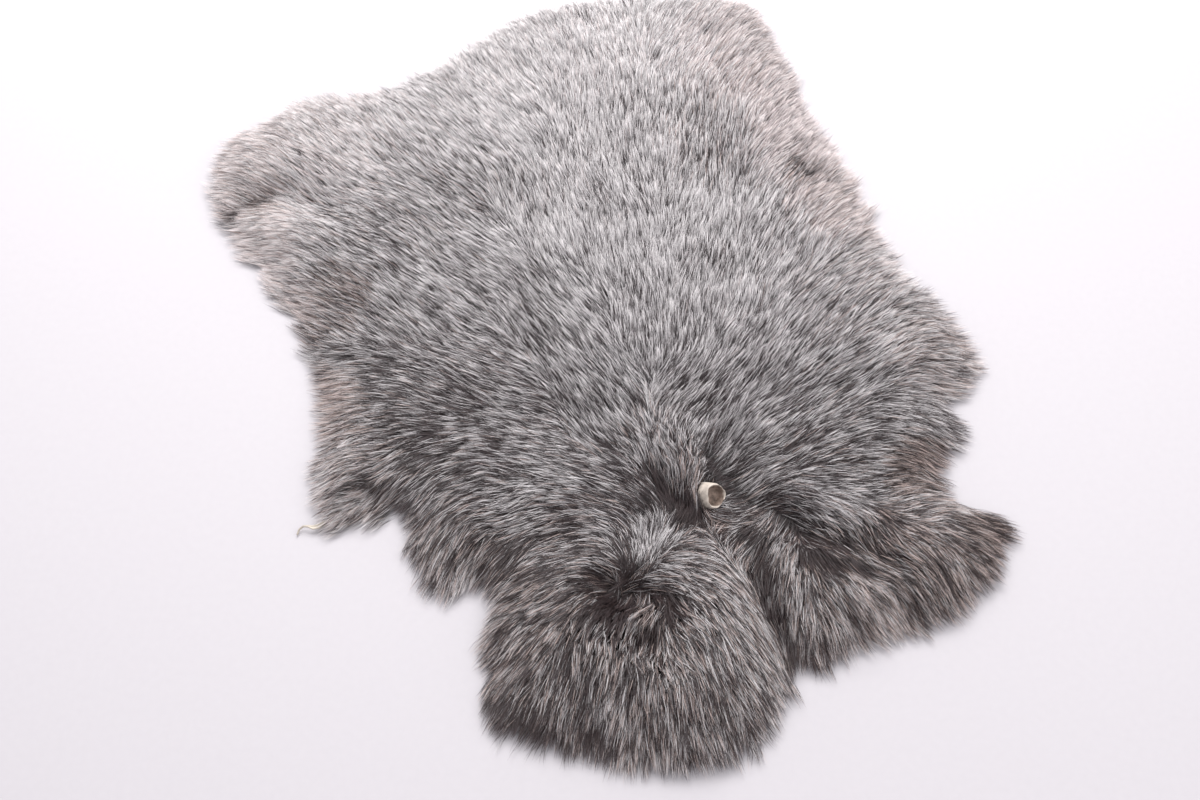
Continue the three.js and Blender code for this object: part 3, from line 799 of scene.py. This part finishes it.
def ramp(tree, factor, stops, interpolation="LINEAR"):
    node = tree.nodes.new("ShaderNodeValToRGB")
    node.color_ramp.interpolation = interpolation
    elements = node.color_ramp.elements
    while len(elements) < len(stops):
        elements.new(0.5)
    for element, (place, colour) in zip(elements, stops):
        element.position = place
        element.color = (*colour[:3], 1)
    tree.links.new(factor, node.inputs["Fac"])
    return node.outputs["Color"]


def math_node(tree, kind, first, second=None):
    node = tree.nodes.new("ShaderNodeMath")
    node.operation = kind
    for socket, value in zip(node.inputs, (first, second)):
        if value is not None:
            feed(tree, socket, value)
    return node.outputs["Value"]


def vector_node(tree, kind, first, second):
    """A vector sum, difference or dot product, with its outputs."""
    node = tree.nodes.new("ShaderNodeVectorMath")
    node.operation = kind
    feed(tree, node.inputs[0], first)
    feed(tree, node.inputs[1], second)
    return node.outputs


def mixed(tree, kind, factor, first, second):
    node = tree.nodes.new("ShaderNodeMix")
    node.data_type = "RGBA"
    node.blend_type = kind
    for socket, value in ((0, factor), (MIX_FIRST, first), (MIX_SECOND, second)):
        feed(tree, node.inputs[socket], value)
    return node.outputs[MIX_RESULT]


def noise_node(tree, vector, scale, detail=3.0, roughness=0.5):
    node = tree.nodes.new("ShaderNodeTexNoise")
    node.inputs["Scale"].default_value = scale
    node.inputs["Detail"].default_value = detail
    node.inputs["Roughness"].default_value = roughness
    tree.links.new(vector, node.inputs["Vector"])
    return node.outputs["Fac"]


def bump(tree, shader, height, strength, distance):
    node = tree.nodes.new("ShaderNodeBump")
    node.inputs["Strength"].default_value = strength
    node.inputs["Distance"].default_value = distance
    tree.links.new(height, node.inputs["Height"])
    tree.links.new(node.outputs["Normal"], shader.inputs["Normal"])


def scaled(colour, share):
    return tuple(min(1.0, float(c) * share) for c in colour[:3])


def hair_material(colours):
    """Hairs coloured by their own chart: across it from dark to silver hairs, up it from root to tip."""
    material, tree, shader = new_material("hair", 0.55, 0.35)
    chart = tree.nodes.new("ShaderNodeUVMap")
    chart.uv_map = "OFBake"
    split = tree.nodes.new("ShaderNodeSeparateXYZ")
    tree.links.new(chart.outputs["UV"], split.inputs["Vector"])
    along = math_node(tree, "FRACT", math_node(tree, "MULTIPLY", split.outputs["Y"], float(PALETTE_ROWS)))
    dark = ramp(tree, along, (
        (0.0, scaled(colours.root, 0.6)),
        (0.45, colours.root),
        (0.8, colours.dark_hair),
        (1.0, colours.dark_hair),
    ))
    light = ramp(tree, along, (
        (0.0, colours.root),
        (0.35, scaled(colours.silver_hair, 0.14)),
        (0.62, scaled(colours.silver_hair, 0.62)),
        (0.85, colours.silver_hair),
    ))
    hair = mixed(tree, "MIX", split.outputs["X"], dark, light)
    tint = ramp(tree, split.outputs["Y"], (
        (0.0, (1, 1, 1)),
        (1 / 3, colours.brown_tint),
        (2 / 3, colours.cream_tint),
    ), "CONSTANT")
    tree.links.new(mixed(tree, "MULTIPLY", 1.0, hair, tint), shader.inputs["Base Color"])
    return material


def underfur_material(colours):
    """Dense slate wool in soft patches."""
    material, tree, shader = new_material("underfur", 0.95, 0.1)
    place = object_place(tree)
    patches = noise_node(tree, place, 60, 4)
    fibres = noise_node(tree, place, 900, 5, 0.7)
    blend = mixed(tree, "MIX", patches, scaled(colours.root, 0.45), scaled(colours.root, 1.1))
    tree.links.new(mixed(tree, "OVERLAY", 0.6, blend, fibres), shader.inputs["Base Color"])
    bump(tree, shader, fibres, 0.8, 0.0006)
    return material


def suede_material(colours):
    """The flesh side: dry pale suede with a fine nap and faint veins."""
    material, tree, shader = new_material("suede", 0.9, 0.2)
    place = object_place(tree)
    clouds = noise_node(tree, place, 14, 4, 0.55)
    nap = noise_node(tree, place, 1400, 6, 0.75)
    creased = tree.nodes.new("ShaderNodeTexVoronoi")
    creased.feature = "DISTANCE_TO_EDGE"
    creased.inputs["Scale"].default_value = 42
    wander = tree.nodes.new("ShaderNodeTexNoise")
    wander.inputs["Scale"].default_value = 30
    tree.links.new(place, wander.inputs["Vector"])
    small = vector_node(tree, "MULTIPLY", wander.outputs["Color"], (0.02, 0.02, 0.02))
    bent = vector_node(tree, "ADD", place, small["Vector"])
    tree.links.new(bent["Vector"], creased.inputs["Vector"])
    veins = ramp(tree, creased.outputs["Distance"], ((0.0, (0.72, 0.66, 0.6)), (0.06, (1, 1, 1))))
    base = ramp(tree, clouds, (
        (0.3, scaled(colours.suede, 0.72)),
        (0.5, colours.suede),
        (0.72, scaled(colours.suede, 1.15)),
    ))
    tinted = mixed(tree, "MULTIPLY", 0.45, base, veins)
    tree.links.new(mixed(tree, "OVERLAY", 0.35, tinted, nap), shader.inputs["Base Color"])
    shader.inputs["Sheen Weight"].default_value = 0.25
    shader.inputs["Sheen Roughness"].default_value = 0.5
    bump(tree, shader, nap, 0.5, 0.0004)
    return material


def stub_material(colours):
    """Cream skin outside and on the lip, and a brown dried hollow in the mouth."""
    material, tree, shader = new_material("tail skin", 0.7, 0.3)
    place = object_place(tree)
    offset = vector_node(tree, "SUBTRACT", place, tuple(STUB_FOOT * MM))["Vector"]
    along = vector_node(tree, "DOT_PRODUCT", offset, tuple(STUB_LEAN))["Value"]
    square = vector_node(tree, "DOT_PRODUCT", offset, offset)["Value"]
    axial = math_node(tree, "MULTIPLY", along, along)
    radial = math_node(tree, "SQRT", math_node(tree, "SUBTRACT", square, axial))
    mottle = noise_node(tree, place, 420, 4, 0.6)
    fibres = noise_node(tree, place, 1500, 5, 0.7)
    wander = math_node(tree, "MULTIPLY", math_node(tree, "SUBTRACT", mottle, 0.5), 0.0008)
    edge = math_node(tree, "ADD", radial, wander)
    hollow = ramp(tree, math_node(tree, "MULTIPLY", edge, 100.0), (
        (0.43, (1, 1, 1)),
        (0.47, (0, 0, 0)),
    ))
    outside = ramp(tree, mottle, ((0.3, scaled(colours.tail_skin, 0.72)), (0.6, colours.tail_skin)))
    inside = ramp(tree, mottle, (
        (0.32, scaled(colours.tail_hollow, 0.45)),
        (0.5, colours.tail_hollow),
        (0.68, scaled(colours.tail_hollow, 1.5)),
    ))
    colour = mixed(tree, "MIX", hollow, outside, inside)
    tree.links.new(colour, shader.inputs["Base Color"])
    bump(tree, shader, fibres, 0.6, 0.0005)
    return material


def strip_material(colours):
    """Bare mottled hide that has dried pale."""
    material, tree, shader = new_material("dried strip", 0.6)
    place = object_place(tree)
    mottle = noise_node(tree, place, 260, 4, 0.6)
    base = ramp(tree, mottle, (
        (0.3, scaled(colours.strip, 0.6)),
        (0.5, colours.strip),
        (0.7, scaled(colours.strip, 1.3)),
    ))
    tree.links.new(base, shader.inputs["Base Color"])
    bump(tree, shader, noise_node(tree, place, 1600, 4), 0.5, 0.0003)
    return material


def floor_material():
    """Pale lavender paper with a faint grain."""
    material, tree, shader = new_material("studio floor", 0.6, 0.2)
    grain = noise_node(tree, object_place(tree), 300, 2)
    tint = ramp(tree, grain, FLOOR_TINTS)
    tree.links.new(tint, shader.inputs["Base Color"])
    return material


# Hairs

def locks_of(places, size, layer):
    """The nearest lock of each place on an uneven net: the lock's middle and its random numbers."""
    table = np.random.default_rng(SEED + 200 + layer).random((97, 89, 6))
    spot = places / size
    cell = np.floor(spot).astype(int)
    best = np.full(len(places), np.inf)
    middle = np.zeros((len(places), 2))
    chance = np.zeros((len(places), 4))
    for across in (-1, 0, 1):
        for along in (-1, 0, 1):
            other = cell + (across, along)
            numbers = table[other[:, 0] % 97, other[:, 1] % 89]
            centre = other + 0.5 + (numbers[:, :2] - 0.5) * 0.9
            gap = ((centre - spot) ** 2).sum(1)
            nearer = gap < best
            best[nearer] = gap[nearer]
            middle[nearer] = centre[nearer] * size
            chance[nearer] = numbers[nearer, 2:]
    return middle, chance


def turned(way, angle):
    cosine, sine = np.cos(angle), np.sin(angle)
    return np.column_stack([way[:, 0] * cosine - way[:, 1] * sine, way[:, 0] * sine + way[:, 1] * cosine])


def tip_places(skin, sizes, rng):
    """Where the hairs end in plan: an uneven net over the skin, and a second one along its rim."""
    spacing = sizes.hair_spacing / MM
    columns = np.arange(GRID_LOW[0], -GRID_LOW[0], spacing)
    rows = np.arange(GRID_LOW[1], -GRID_LOW[1], spacing)
    x, y = np.meshgrid(columns, rows, indexing="ij")
    net = np.stack([x.ravel(), y.ravel()], axis=1)
    tips = net + rng.uniform(-0.6, 0.6, net.shape) * spacing
    fringe = net + rng.uniform(-0.6, 0.6, net.shape) * spacing
    fringe = fringe[np.abs(read(skin.inside, fringe) - FRINGE_MIDDLE) < FRINGE_HALF]
    tips = np.vstack([tips, fringe])
    inside = read(skin.inside, tips)
    ragged = 1 + 0.32 * value_noise(tips, 9.0, 1) + 0.3 * value_noise(tips, 3.5, 2)
    ragged *= 1.0 - 0.35 * smoothstep(tips[:, 1], -20, 150)
    for x, y, felt_reach, change in WISPS.values():
        far = np.linalg.norm(tips - picture_to_plan(x, y, 3.0), axis=1)
        ragged *= 1 + change * np.exp(-((far / felt_reach) ** 2))
    reach_out = sizes.wisp_length / MM * ragged
    kept = inside > -reach_out * rng.random(len(tips)) ** 0.7
    return tips[kept], inside[kept]


def hair_tones(skin, sizes, rng, drawn, chance, streak_chance):
    """The lightness of each hair, with painted shade, and its row in the palette: silver, brown or cream."""
    count = len(drawn)
    tone = read(skin.tone, drawn)
    shade = read(skin.shade, drawn)
    # Painted shade: in the hollows fewer hairs are silver, and below every hair is made darker
    silver = tone[:, 0] * (1.3 - 0.3 * tone[:, 0]) * (1 - shade)
    silver += 0.09 * value_noise(drawn, 17.0, 5)
    silver += 0.10 * value_noise(drawn, 6.0, 6)
    silver += (chance - 0.5) * 0.25
    own = rng.random(count)
    own = np.where(rng.random(count) < sizes.streakiness, streak_chance, own)
    light = np.where(own < silver, rng.uniform(0.7, 1.0, count), rng.uniform(0.0, 0.08, count))
    light = np.clip(light * (0.8 + 0.25 * silver) * (1 - 0.85 * shade), 0.01, 0.99)
    draw = rng.random(count)
    row = np.where(draw < tone[:, 2], 2, np.where(draw < tone[:, 1] + tone[:, 2], 1, 0))
    return light, row


def clear_of_stub(root, knee, tip):
    """Which hairs leave the bare end of the tail stub free."""
    clear = np.ones(len(tip), bool)
    for place in (knee, tip, (knee + tip) / 2, (knee + root) / 2):
        along = np.clip((place - STUB_FOOT) @ STUB_LEAN, STUB_LENGTH - STUB_BARE, STUB_LENGTH + 1)
        axis = STUB_FOOT + along[:, None] * STUB_LEAN
        clear &= np.linalg.norm(place - axis, axis=1) > STUB_CLEAR
    return clear


def hair_arrays(skin, sizes):
    """Every hair of the coat: root, knee and tip in millimetres, half width, roll, tone and row."""
    rng = np.random.default_rng(SEED)
    tips, inside = tip_places(skin, sizes, rng)
    count = len(tips)
    lock_size = sizes.lock_width / MM

    way = read(skin.way, tips)
    way /= np.linalg.norm(way, axis=1)[:, None]
    middle, chance = locks_of(tips, lock_size, 0)
    bunch, bunch_chance = locks_of(tips, lock_size * BUNCH_WIDTH, 1)
    tall = read(skin.top, tips) - read(skin.hide, tips)
    shag = smoothstep(tall, *SHAG_PILE)
    wobble = 0.16 * value_noise(tips, 22.0, 3) + 0.14 * value_noise(tips, 9.0, 4)
    wobble += (chance[:, 0] - 0.5) * 0.34 + (bunch_chance[:, 0] - 0.5) * 0.3
    wobble = wobble * (0.4 + 1.2 * shag) + rng.normal(0, 0.1, count)
    way = turned(way, wobble)

    near_rim = np.exp(-np.maximum(inside, 0) / 14)
    reach = sizes.hair_reach / MM * (1.08 - 0.2 * shag + 0.05 * near_rim)
    reach *= rng.uniform(0.7, 1.2, count)
    roots = tips - way * reach[:, None]

    pull = (0.12 + 0.28 * shag) + 0.35 * rng.random(count)
    drawn = tips + (middle - tips) * pull[:, None] + (bunch - tips) * 0.08
    streak, streak_chance = locks_of(tips, sizes.streak_width / MM, 2)
    drawn += (streak - tips) * 0.45 + way * (chance[:, 1] - 0.5)[:, None] * 1.6
    height = read(skin.top, drawn)
    drop = rng.gamma(1.6, 0.55, count) + (chance[:, 2] - 0.4) * 1.6 + (bunch_chance[:, 1] - 0.5) * 1.2
    drop += (streak_chance[:, 1] - 0.4) * 2.8
    guard = rng.random(count) < sizes.guard_share
    drop = np.where(guard, -rng.uniform(0.3, 1.6, count), drop)
    tip_height = np.maximum(height - drop * smoothstep(height, 0, 8), LOWEST_TIP)
    root_height = skin.underfur(roots, sizes.underfur_share) - ROOT_DEPTH
    root_inside = read(skin.inside, roots)
    root_height = np.where(root_inside > 0, root_height, ROOT_PAST_RIM)
    root_height = np.minimum(root_height, tip_height - LEAST_RISE)
    root_height = np.maximum(root_height, LOWEST_ROOT)

    root = np.column_stack([roots, root_height])
    tip = np.column_stack([drawn, tip_height])
    knee = root + (tip - root) * KNEE_AT
    bend = (chance[:, 2] - 0.5) * (0.6 + 3.0 * shag) + rng.normal(0, 0.25, count)
    knee[:, 0] -= way[:, 1] * bend
    knee[:, 1] += way[:, 0] * bend
    lain = read(skin.top, knee[:, :2]) - (height - tip_height) - rng.uniform(0.4, 1.4, count)
    knee[:, 2] = np.maximum(np.maximum(knee[:, 2], lain), LOWEST_KNEE)

    light, row = hair_tones(skin, sizes, rng, drawn, chance[:, 3], streak_chance[:, 0])
    half_width = sizes.hair_width / MM / 2 * rng.uniform(0.65, 1.25, count) * (1 - 0.35 * near_rim)
    half_width = np.where(guard, half_width * 0.75, half_width)
    roll = rng.normal(0, 0.45, count)
    clear = clear_of_stub(root, knee, tip)
    return [values[clear] for values in (root, knee, tip, half_width, roll, light, row)]


def hair_mesh(name, hairs):
    """One mesh of ribbon hairs, each two triangles that meet at its knee, where it is widest."""
    root, knee, tip, half_width, roll, light, row = hairs
    count = len(root)
    along = tip - root
    along /= np.linalg.norm(along, axis=1)[:, None]
    side = np.cross(along, (0, 0, 1))
    side /= np.linalg.norm(side, axis=1)[:, None] + 1e-9
    face = np.cross(side, along)
    side = side * np.cos(roll)[:, None] + face * np.sin(roll)[:, None]
    offset = side * half_width[:, None]
    points = np.stack([root, knee + offset, knee - offset, tip], axis=1)
    first = np.arange(count)[:, None] * 4
    corners = first + np.array((0, 1, 2, 2, 1, 3))
    starts = np.arange(count * 2) * 3

    mesh = bpy.data.meshes.new(name)
    mesh.vertices.add(count * 4)
    mesh.vertices.foreach_set("co", (points * MM).ravel())
    mesh.loops.add(count * 6)
    mesh.loops.foreach_set("vertex_index", corners.ravel().astype(np.int32))
    mesh.polygons.add(count * 2)
    mesh.polygons.foreach_set("loop_start", starts.astype(np.int32))
    mesh.update(calc_edges=True)

    ends = np.array(((0, 0.04), (1, 0.55), (-1, 0.55), (-1, 0.55), (1, 0.55), (0, 0.97)))
    chart = np.empty((count, 6, 2))
    chart[:, :, 0] = light[:, None] * (1 - 2 * CHART_WIDTH) + CHART_WIDTH + ends[:, 0] * CHART_WIDTH / 2
    chart[:, :, 1] = (row[:, None] + ends[:, 1]) / PALETTE_ROWS
    layer = mesh.uv_layers.new(name="OFBake")
    layer.data.foreach_set("uv", chart.ravel())
    mesh.validate()
    piece = bpy.data.objects.new(name, mesh)
    bpy.context.scene.collection.objects.link(piece)
    return piece


# Sizes and colours

class RabbitSkinSizes(bpy.types.PropertyGroup):
    hide_thickness: bpy.props.FloatProperty(
        name="Hide thickness", description="Thickness of the dressed hide",
        default=0.0012, min=0.0004, max=0.004, unit="LENGTH",
    )
    hide_inset: bpy.props.FloatProperty(
        name="Hide inset", description="How far the hide's edge lies inside the rim of the coat",
        default=0.009, min=0.0, max=0.03, unit="LENGTH",
    )
    underfur_share: bpy.props.FloatProperty(
        name="Underfur height", description="Height of the dense underfur as a share of the pile",
        default=0.46, min=0.1, max=0.9, subtype="FACTOR",
    )
    hair_spacing: bpy.props.FloatProperty(
        name="Hair spacing", description="Distance between neighbouring hairs",
        default=0.00052, min=0.0004, max=0.01, unit="LENGTH",
    )
    hair_reach: bpy.props.FloatProperty(
        name="Hair reach", description="How far a hair of the flank lies over from root to tip",
        default=0.0115, min=0.002, max=0.04, unit="LENGTH",
    )
    hair_width: bpy.props.FloatProperty(
        name="Hair width", description="Width of one ribbon, which stands for a few hairs",
        default=0.00026, min=0.00005, max=0.002, unit="LENGTH",
    )
    lock_width: bpy.props.FloatProperty(
        name="Lock width", description="Width of the small locks that the hairs gather in",
        default=0.0032, min=0.0005, max=0.02, unit="LENGTH",
    )
    streak_width: bpy.props.FloatProperty(
        name="Streak width", description="Width of the fine streaks of silver and dark hairs",
        default=0.00078, min=0.0003, max=0.01, unit="LENGTH",
    )
    streakiness: bpy.props.FloatProperty(
        name="Streakiness", description="Share of the hairs that take the tone of their streak",
        default=0.9, min=0.0, max=1.0, subtype="FACTOR",
    )
    wisp_length: bpy.props.FloatProperty(
        name="Wisp length", description="How far the hairs of the edge reach past the rim",
        default=0.0115, min=0.0, max=0.03, unit="LENGTH",
    )
    guard_share: bpy.props.FloatProperty(
        name="Guard hairs", description="Share of the hairs that stand above the others",
        default=0.03, min=0.0, max=1.0, subtype="FACTOR",
    )


class RabbitSkinColours(bpy.types.PropertyGroup):
    root: bpy.props.FloatVectorProperty(
        name="Roots", description="Slate of the hair roots and the underfur",
        default=linear(30, 23, 24), min=0, max=1, size=3, subtype="COLOR",
    )
    dark_hair: bpy.props.FloatVectorProperty(
        name="Dark hairs", description="Tips of the darkest hairs",
        default=linear(43, 28, 29), min=0, max=1, size=3, subtype="COLOR",
    )
    silver_hair: bpy.props.FloatVectorProperty(
        name="Silver hairs", description="Tips of the lightest hairs",
        default=linear(226, 221, 221), min=0, max=1, size=3, subtype="COLOR",
    )
    brown_tint: bpy.props.FloatVectorProperty(
        name="Brown tint", description="Tint of the brown hairs at the edges and folds",
        default=(0.80, 0.66, 0.60), min=0, max=1, size=3, subtype="COLOR",
    )
    cream_tint: bpy.props.FloatVectorProperty(
        name="Cream tint", description="Tint of the pinkish cream hairs of the belly edge",
        default=(1.0, 0.92, 0.90), min=0, max=1, size=3, subtype="COLOR",
    )
    tail_skin: bpy.props.FloatVectorProperty(
        name="Tail skin", description="Cream skin of the tail stub",
        default=linear(188, 177, 166), min=0, max=1, size=3, subtype="COLOR",
    )
    tail_hollow: bpy.props.FloatVectorProperty(
        name="Tail hollow", description="Dried hollow of the tail stub",
        default=linear(118, 102, 92), min=0, max=1, size=3, subtype="COLOR",
    )
    strip: bpy.props.FloatVectorProperty(
        name="Dried strip", description="Bare dried strip at the left point",
        default=linear(163, 154, 142), min=0, max=1, size=3, subtype="COLOR",
    )
    suede: bpy.props.FloatVectorProperty(
        name="Suede", description="Flesh side of the dressed hide",
        default=linear(214, 196, 168), min=0, max=1, size=3, subtype="COLOR",
    )


_skin = []


def dressing(context):
    """The user's sizes and colours, and the skin's fields, which are read once from the solids."""
    sizes = context.scene.rabbit_skin_sizes
    if not _skin:
        _skin.append(Skin(sizes))
    return sizes, context.scene.rabbit_skin_colours, _skin[0]


# Operators

class RABBIT_OT_hide(bpy.types.Operator):
    """Make the thin suede hide, which stands for the solid hide"""

    bl_idname = "rabbit.hide"
    bl_label = "Hide"

    def execute(self, context):
        sizes, colours, skin = dressing(context)
        thick = sizes.hide_thickness / MM

        def upper(place):
            return read(skin.hide, place)

        def lower(place):
            return np.maximum(read(skin.hide, place) - thick, 0)

        hide = closed_sheet("hide_sheet", skin, HIDE_RINGS, sizes.hide_inset / MM, upper, lower)
        finish_piece(hide, suede_material(colours))
        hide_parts("hide")
        stub = tail_stub(colours)
        strip = bare_strip(colours)
        return {"FINISHED"}


class RABBIT_OT_underfur(bpy.types.Operator):
    """Make the dense dark underfur that the hairs stand in"""

    bl_idname = "rabbit.underfur"
    bl_label = "Underfur"

    def execute(self, context):
        sizes, colours, skin = dressing(context)

        def upper(place):
            return skin.underfur(place, sizes.underfur_share)

        def lower(place):
            over_hide = smoothstep(read(skin.inside, place), 5, 11)
            return UNDERFUR_CLEAR + (read(skin.hide, place) - UNDERFUR_SINK) * over_hide

        underfur = closed_sheet("underfur", skin, UNDERFUR_RINGS, UNDERFUR_INSET, upper, lower)
        finish_piece(underfur, underfur_material(colours))
        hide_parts("fur_coat")
        return {"FINISHED"}


class RABBIT_OT_coat(bpy.types.Operator):
    """Make the coat of hairs, in bands from the neck to the rump"""

    bl_idname = "rabbit.coat"
    bl_label = "Coat of hairs"

    def execute(self, context):
        sizes, colours, skin = dressing(context)
        hairs = hair_arrays(skin, sizes)
        material = hair_material(colours)
        left = np.ones(len(hairs[0]), bool)
        for name, lowest in COAT_BANDS:
            band = left & (hairs[2][:, 1] >= lowest)
            left &= ~band
            piece = hair_mesh(name, [values[band] for values in hairs])
            finish_piece(piece, material)
        return {"FINISHED"}


class RABBIT_OT_stage(bpy.types.Operator):
    """Make the pale floor, the soft studio light and the camera of the photograph"""

    bl_idname = "rabbit.stage"
    bl_label = "Stage"

    def execute(self, context):
        clear_selection()
        bpy.ops.mesh.primitive_plane_add(size=FLOOR_SIZE, location=(0, 0, 0))
        floor = context.object
        floor.name = "floor"
        floor.data.materials.append(floor_material())

        scene = context.scene
        scene.view_settings.view_transform = "Standard"
        world = bpy.data.worlds.new("studio")
        world.use_nodes = True
        background = world.node_tree.nodes["Background"]
        background.inputs["Color"].default_value = ROOM_COLOUR
        background.inputs["Strength"].default_value = ROOM_STRENGTH
        scene.world = world

        for name, place, aim, size, power in SOFTBOXES:
            lamp = bpy.data.lights.new(name, "AREA")
            lamp.shape = "SQUARE"
            lamp.size = size
            lamp.energy = power
            light = bpy.data.objects.new(name, lamp)
            light.location = place
            light.rotation_euler = (Vector(aim) - Vector(place)).to_track_quat("-Z", "Y").to_euler()
            scene.collection.objects.link(light)

        shot = bpy.data.cameras.new("camera")
        shot.sensor_width = SENSOR_WIDTH_MM
        shot.lens = SENSOR_WIDTH_MM * FOCAL_PIXELS / PICTURE_WIDTH
        camera = bpy.data.objects.new("camera", shot)
        camera.location = Vector(CAMERA_PLACE_MM) * MM
        camera.rotation_euler = (math.pi / 2 - CAMERA_ELEVATION, 0, 0)
        scene.collection.objects.link(camera)
        scene.camera = camera
        return {"FINISHED"}


class RABBIT_PT_skin(bpy.types.Panel):
    bl_label = "Rabbit Skin"
    bl_idname = "RABBIT_PT_skin"
    bl_space_type = "VIEW_3D"
    bl_region_type = "UI"
    bl_category = "Rabbit Skin"

    def draw(self, context):
        for group in (context.scene.rabbit_skin_sizes, context.scene.rabbit_skin_colours):
            box = self.layout.box()
            for name in group.__annotations__:
                box.prop(group, name)
        for operator in OPERATORS:
            self.layout.operator(operator.bl_idname)


OPERATORS = (RABBIT_OT_stage, RABBIT_OT_hide, RABBIT_OT_underfur, RABBIT_OT_coat)
CLASSES = (RabbitSkinSizes, RabbitSkinColours, *OPERATORS, RABBIT_PT_skin)


def register():
    for each in CLASSES:
        bpy.utils.register_class(each)
    bpy.types.Scene.rabbit_skin_sizes = bpy.props.PointerProperty(type=RabbitSkinSizes)
    bpy.types.Scene.rabbit_skin_colours = bpy.props.PointerProperty(type=RabbitSkinColours)


def unregister():
    del bpy.types.Scene.rabbit_skin_colours
    del bpy.types.Scene.rabbit_skin_sizes
    for each in reversed(CLASSES):
        bpy.utils.unregister_class(each)


def main():
    register()
    bpy.ops.rabbit.stage()
    bpy.ops.rabbit.hide()
    bpy.ops.rabbit.underfur()
    bpy.ops.rabbit.coat()


if __name__ == "__main__":
    main()
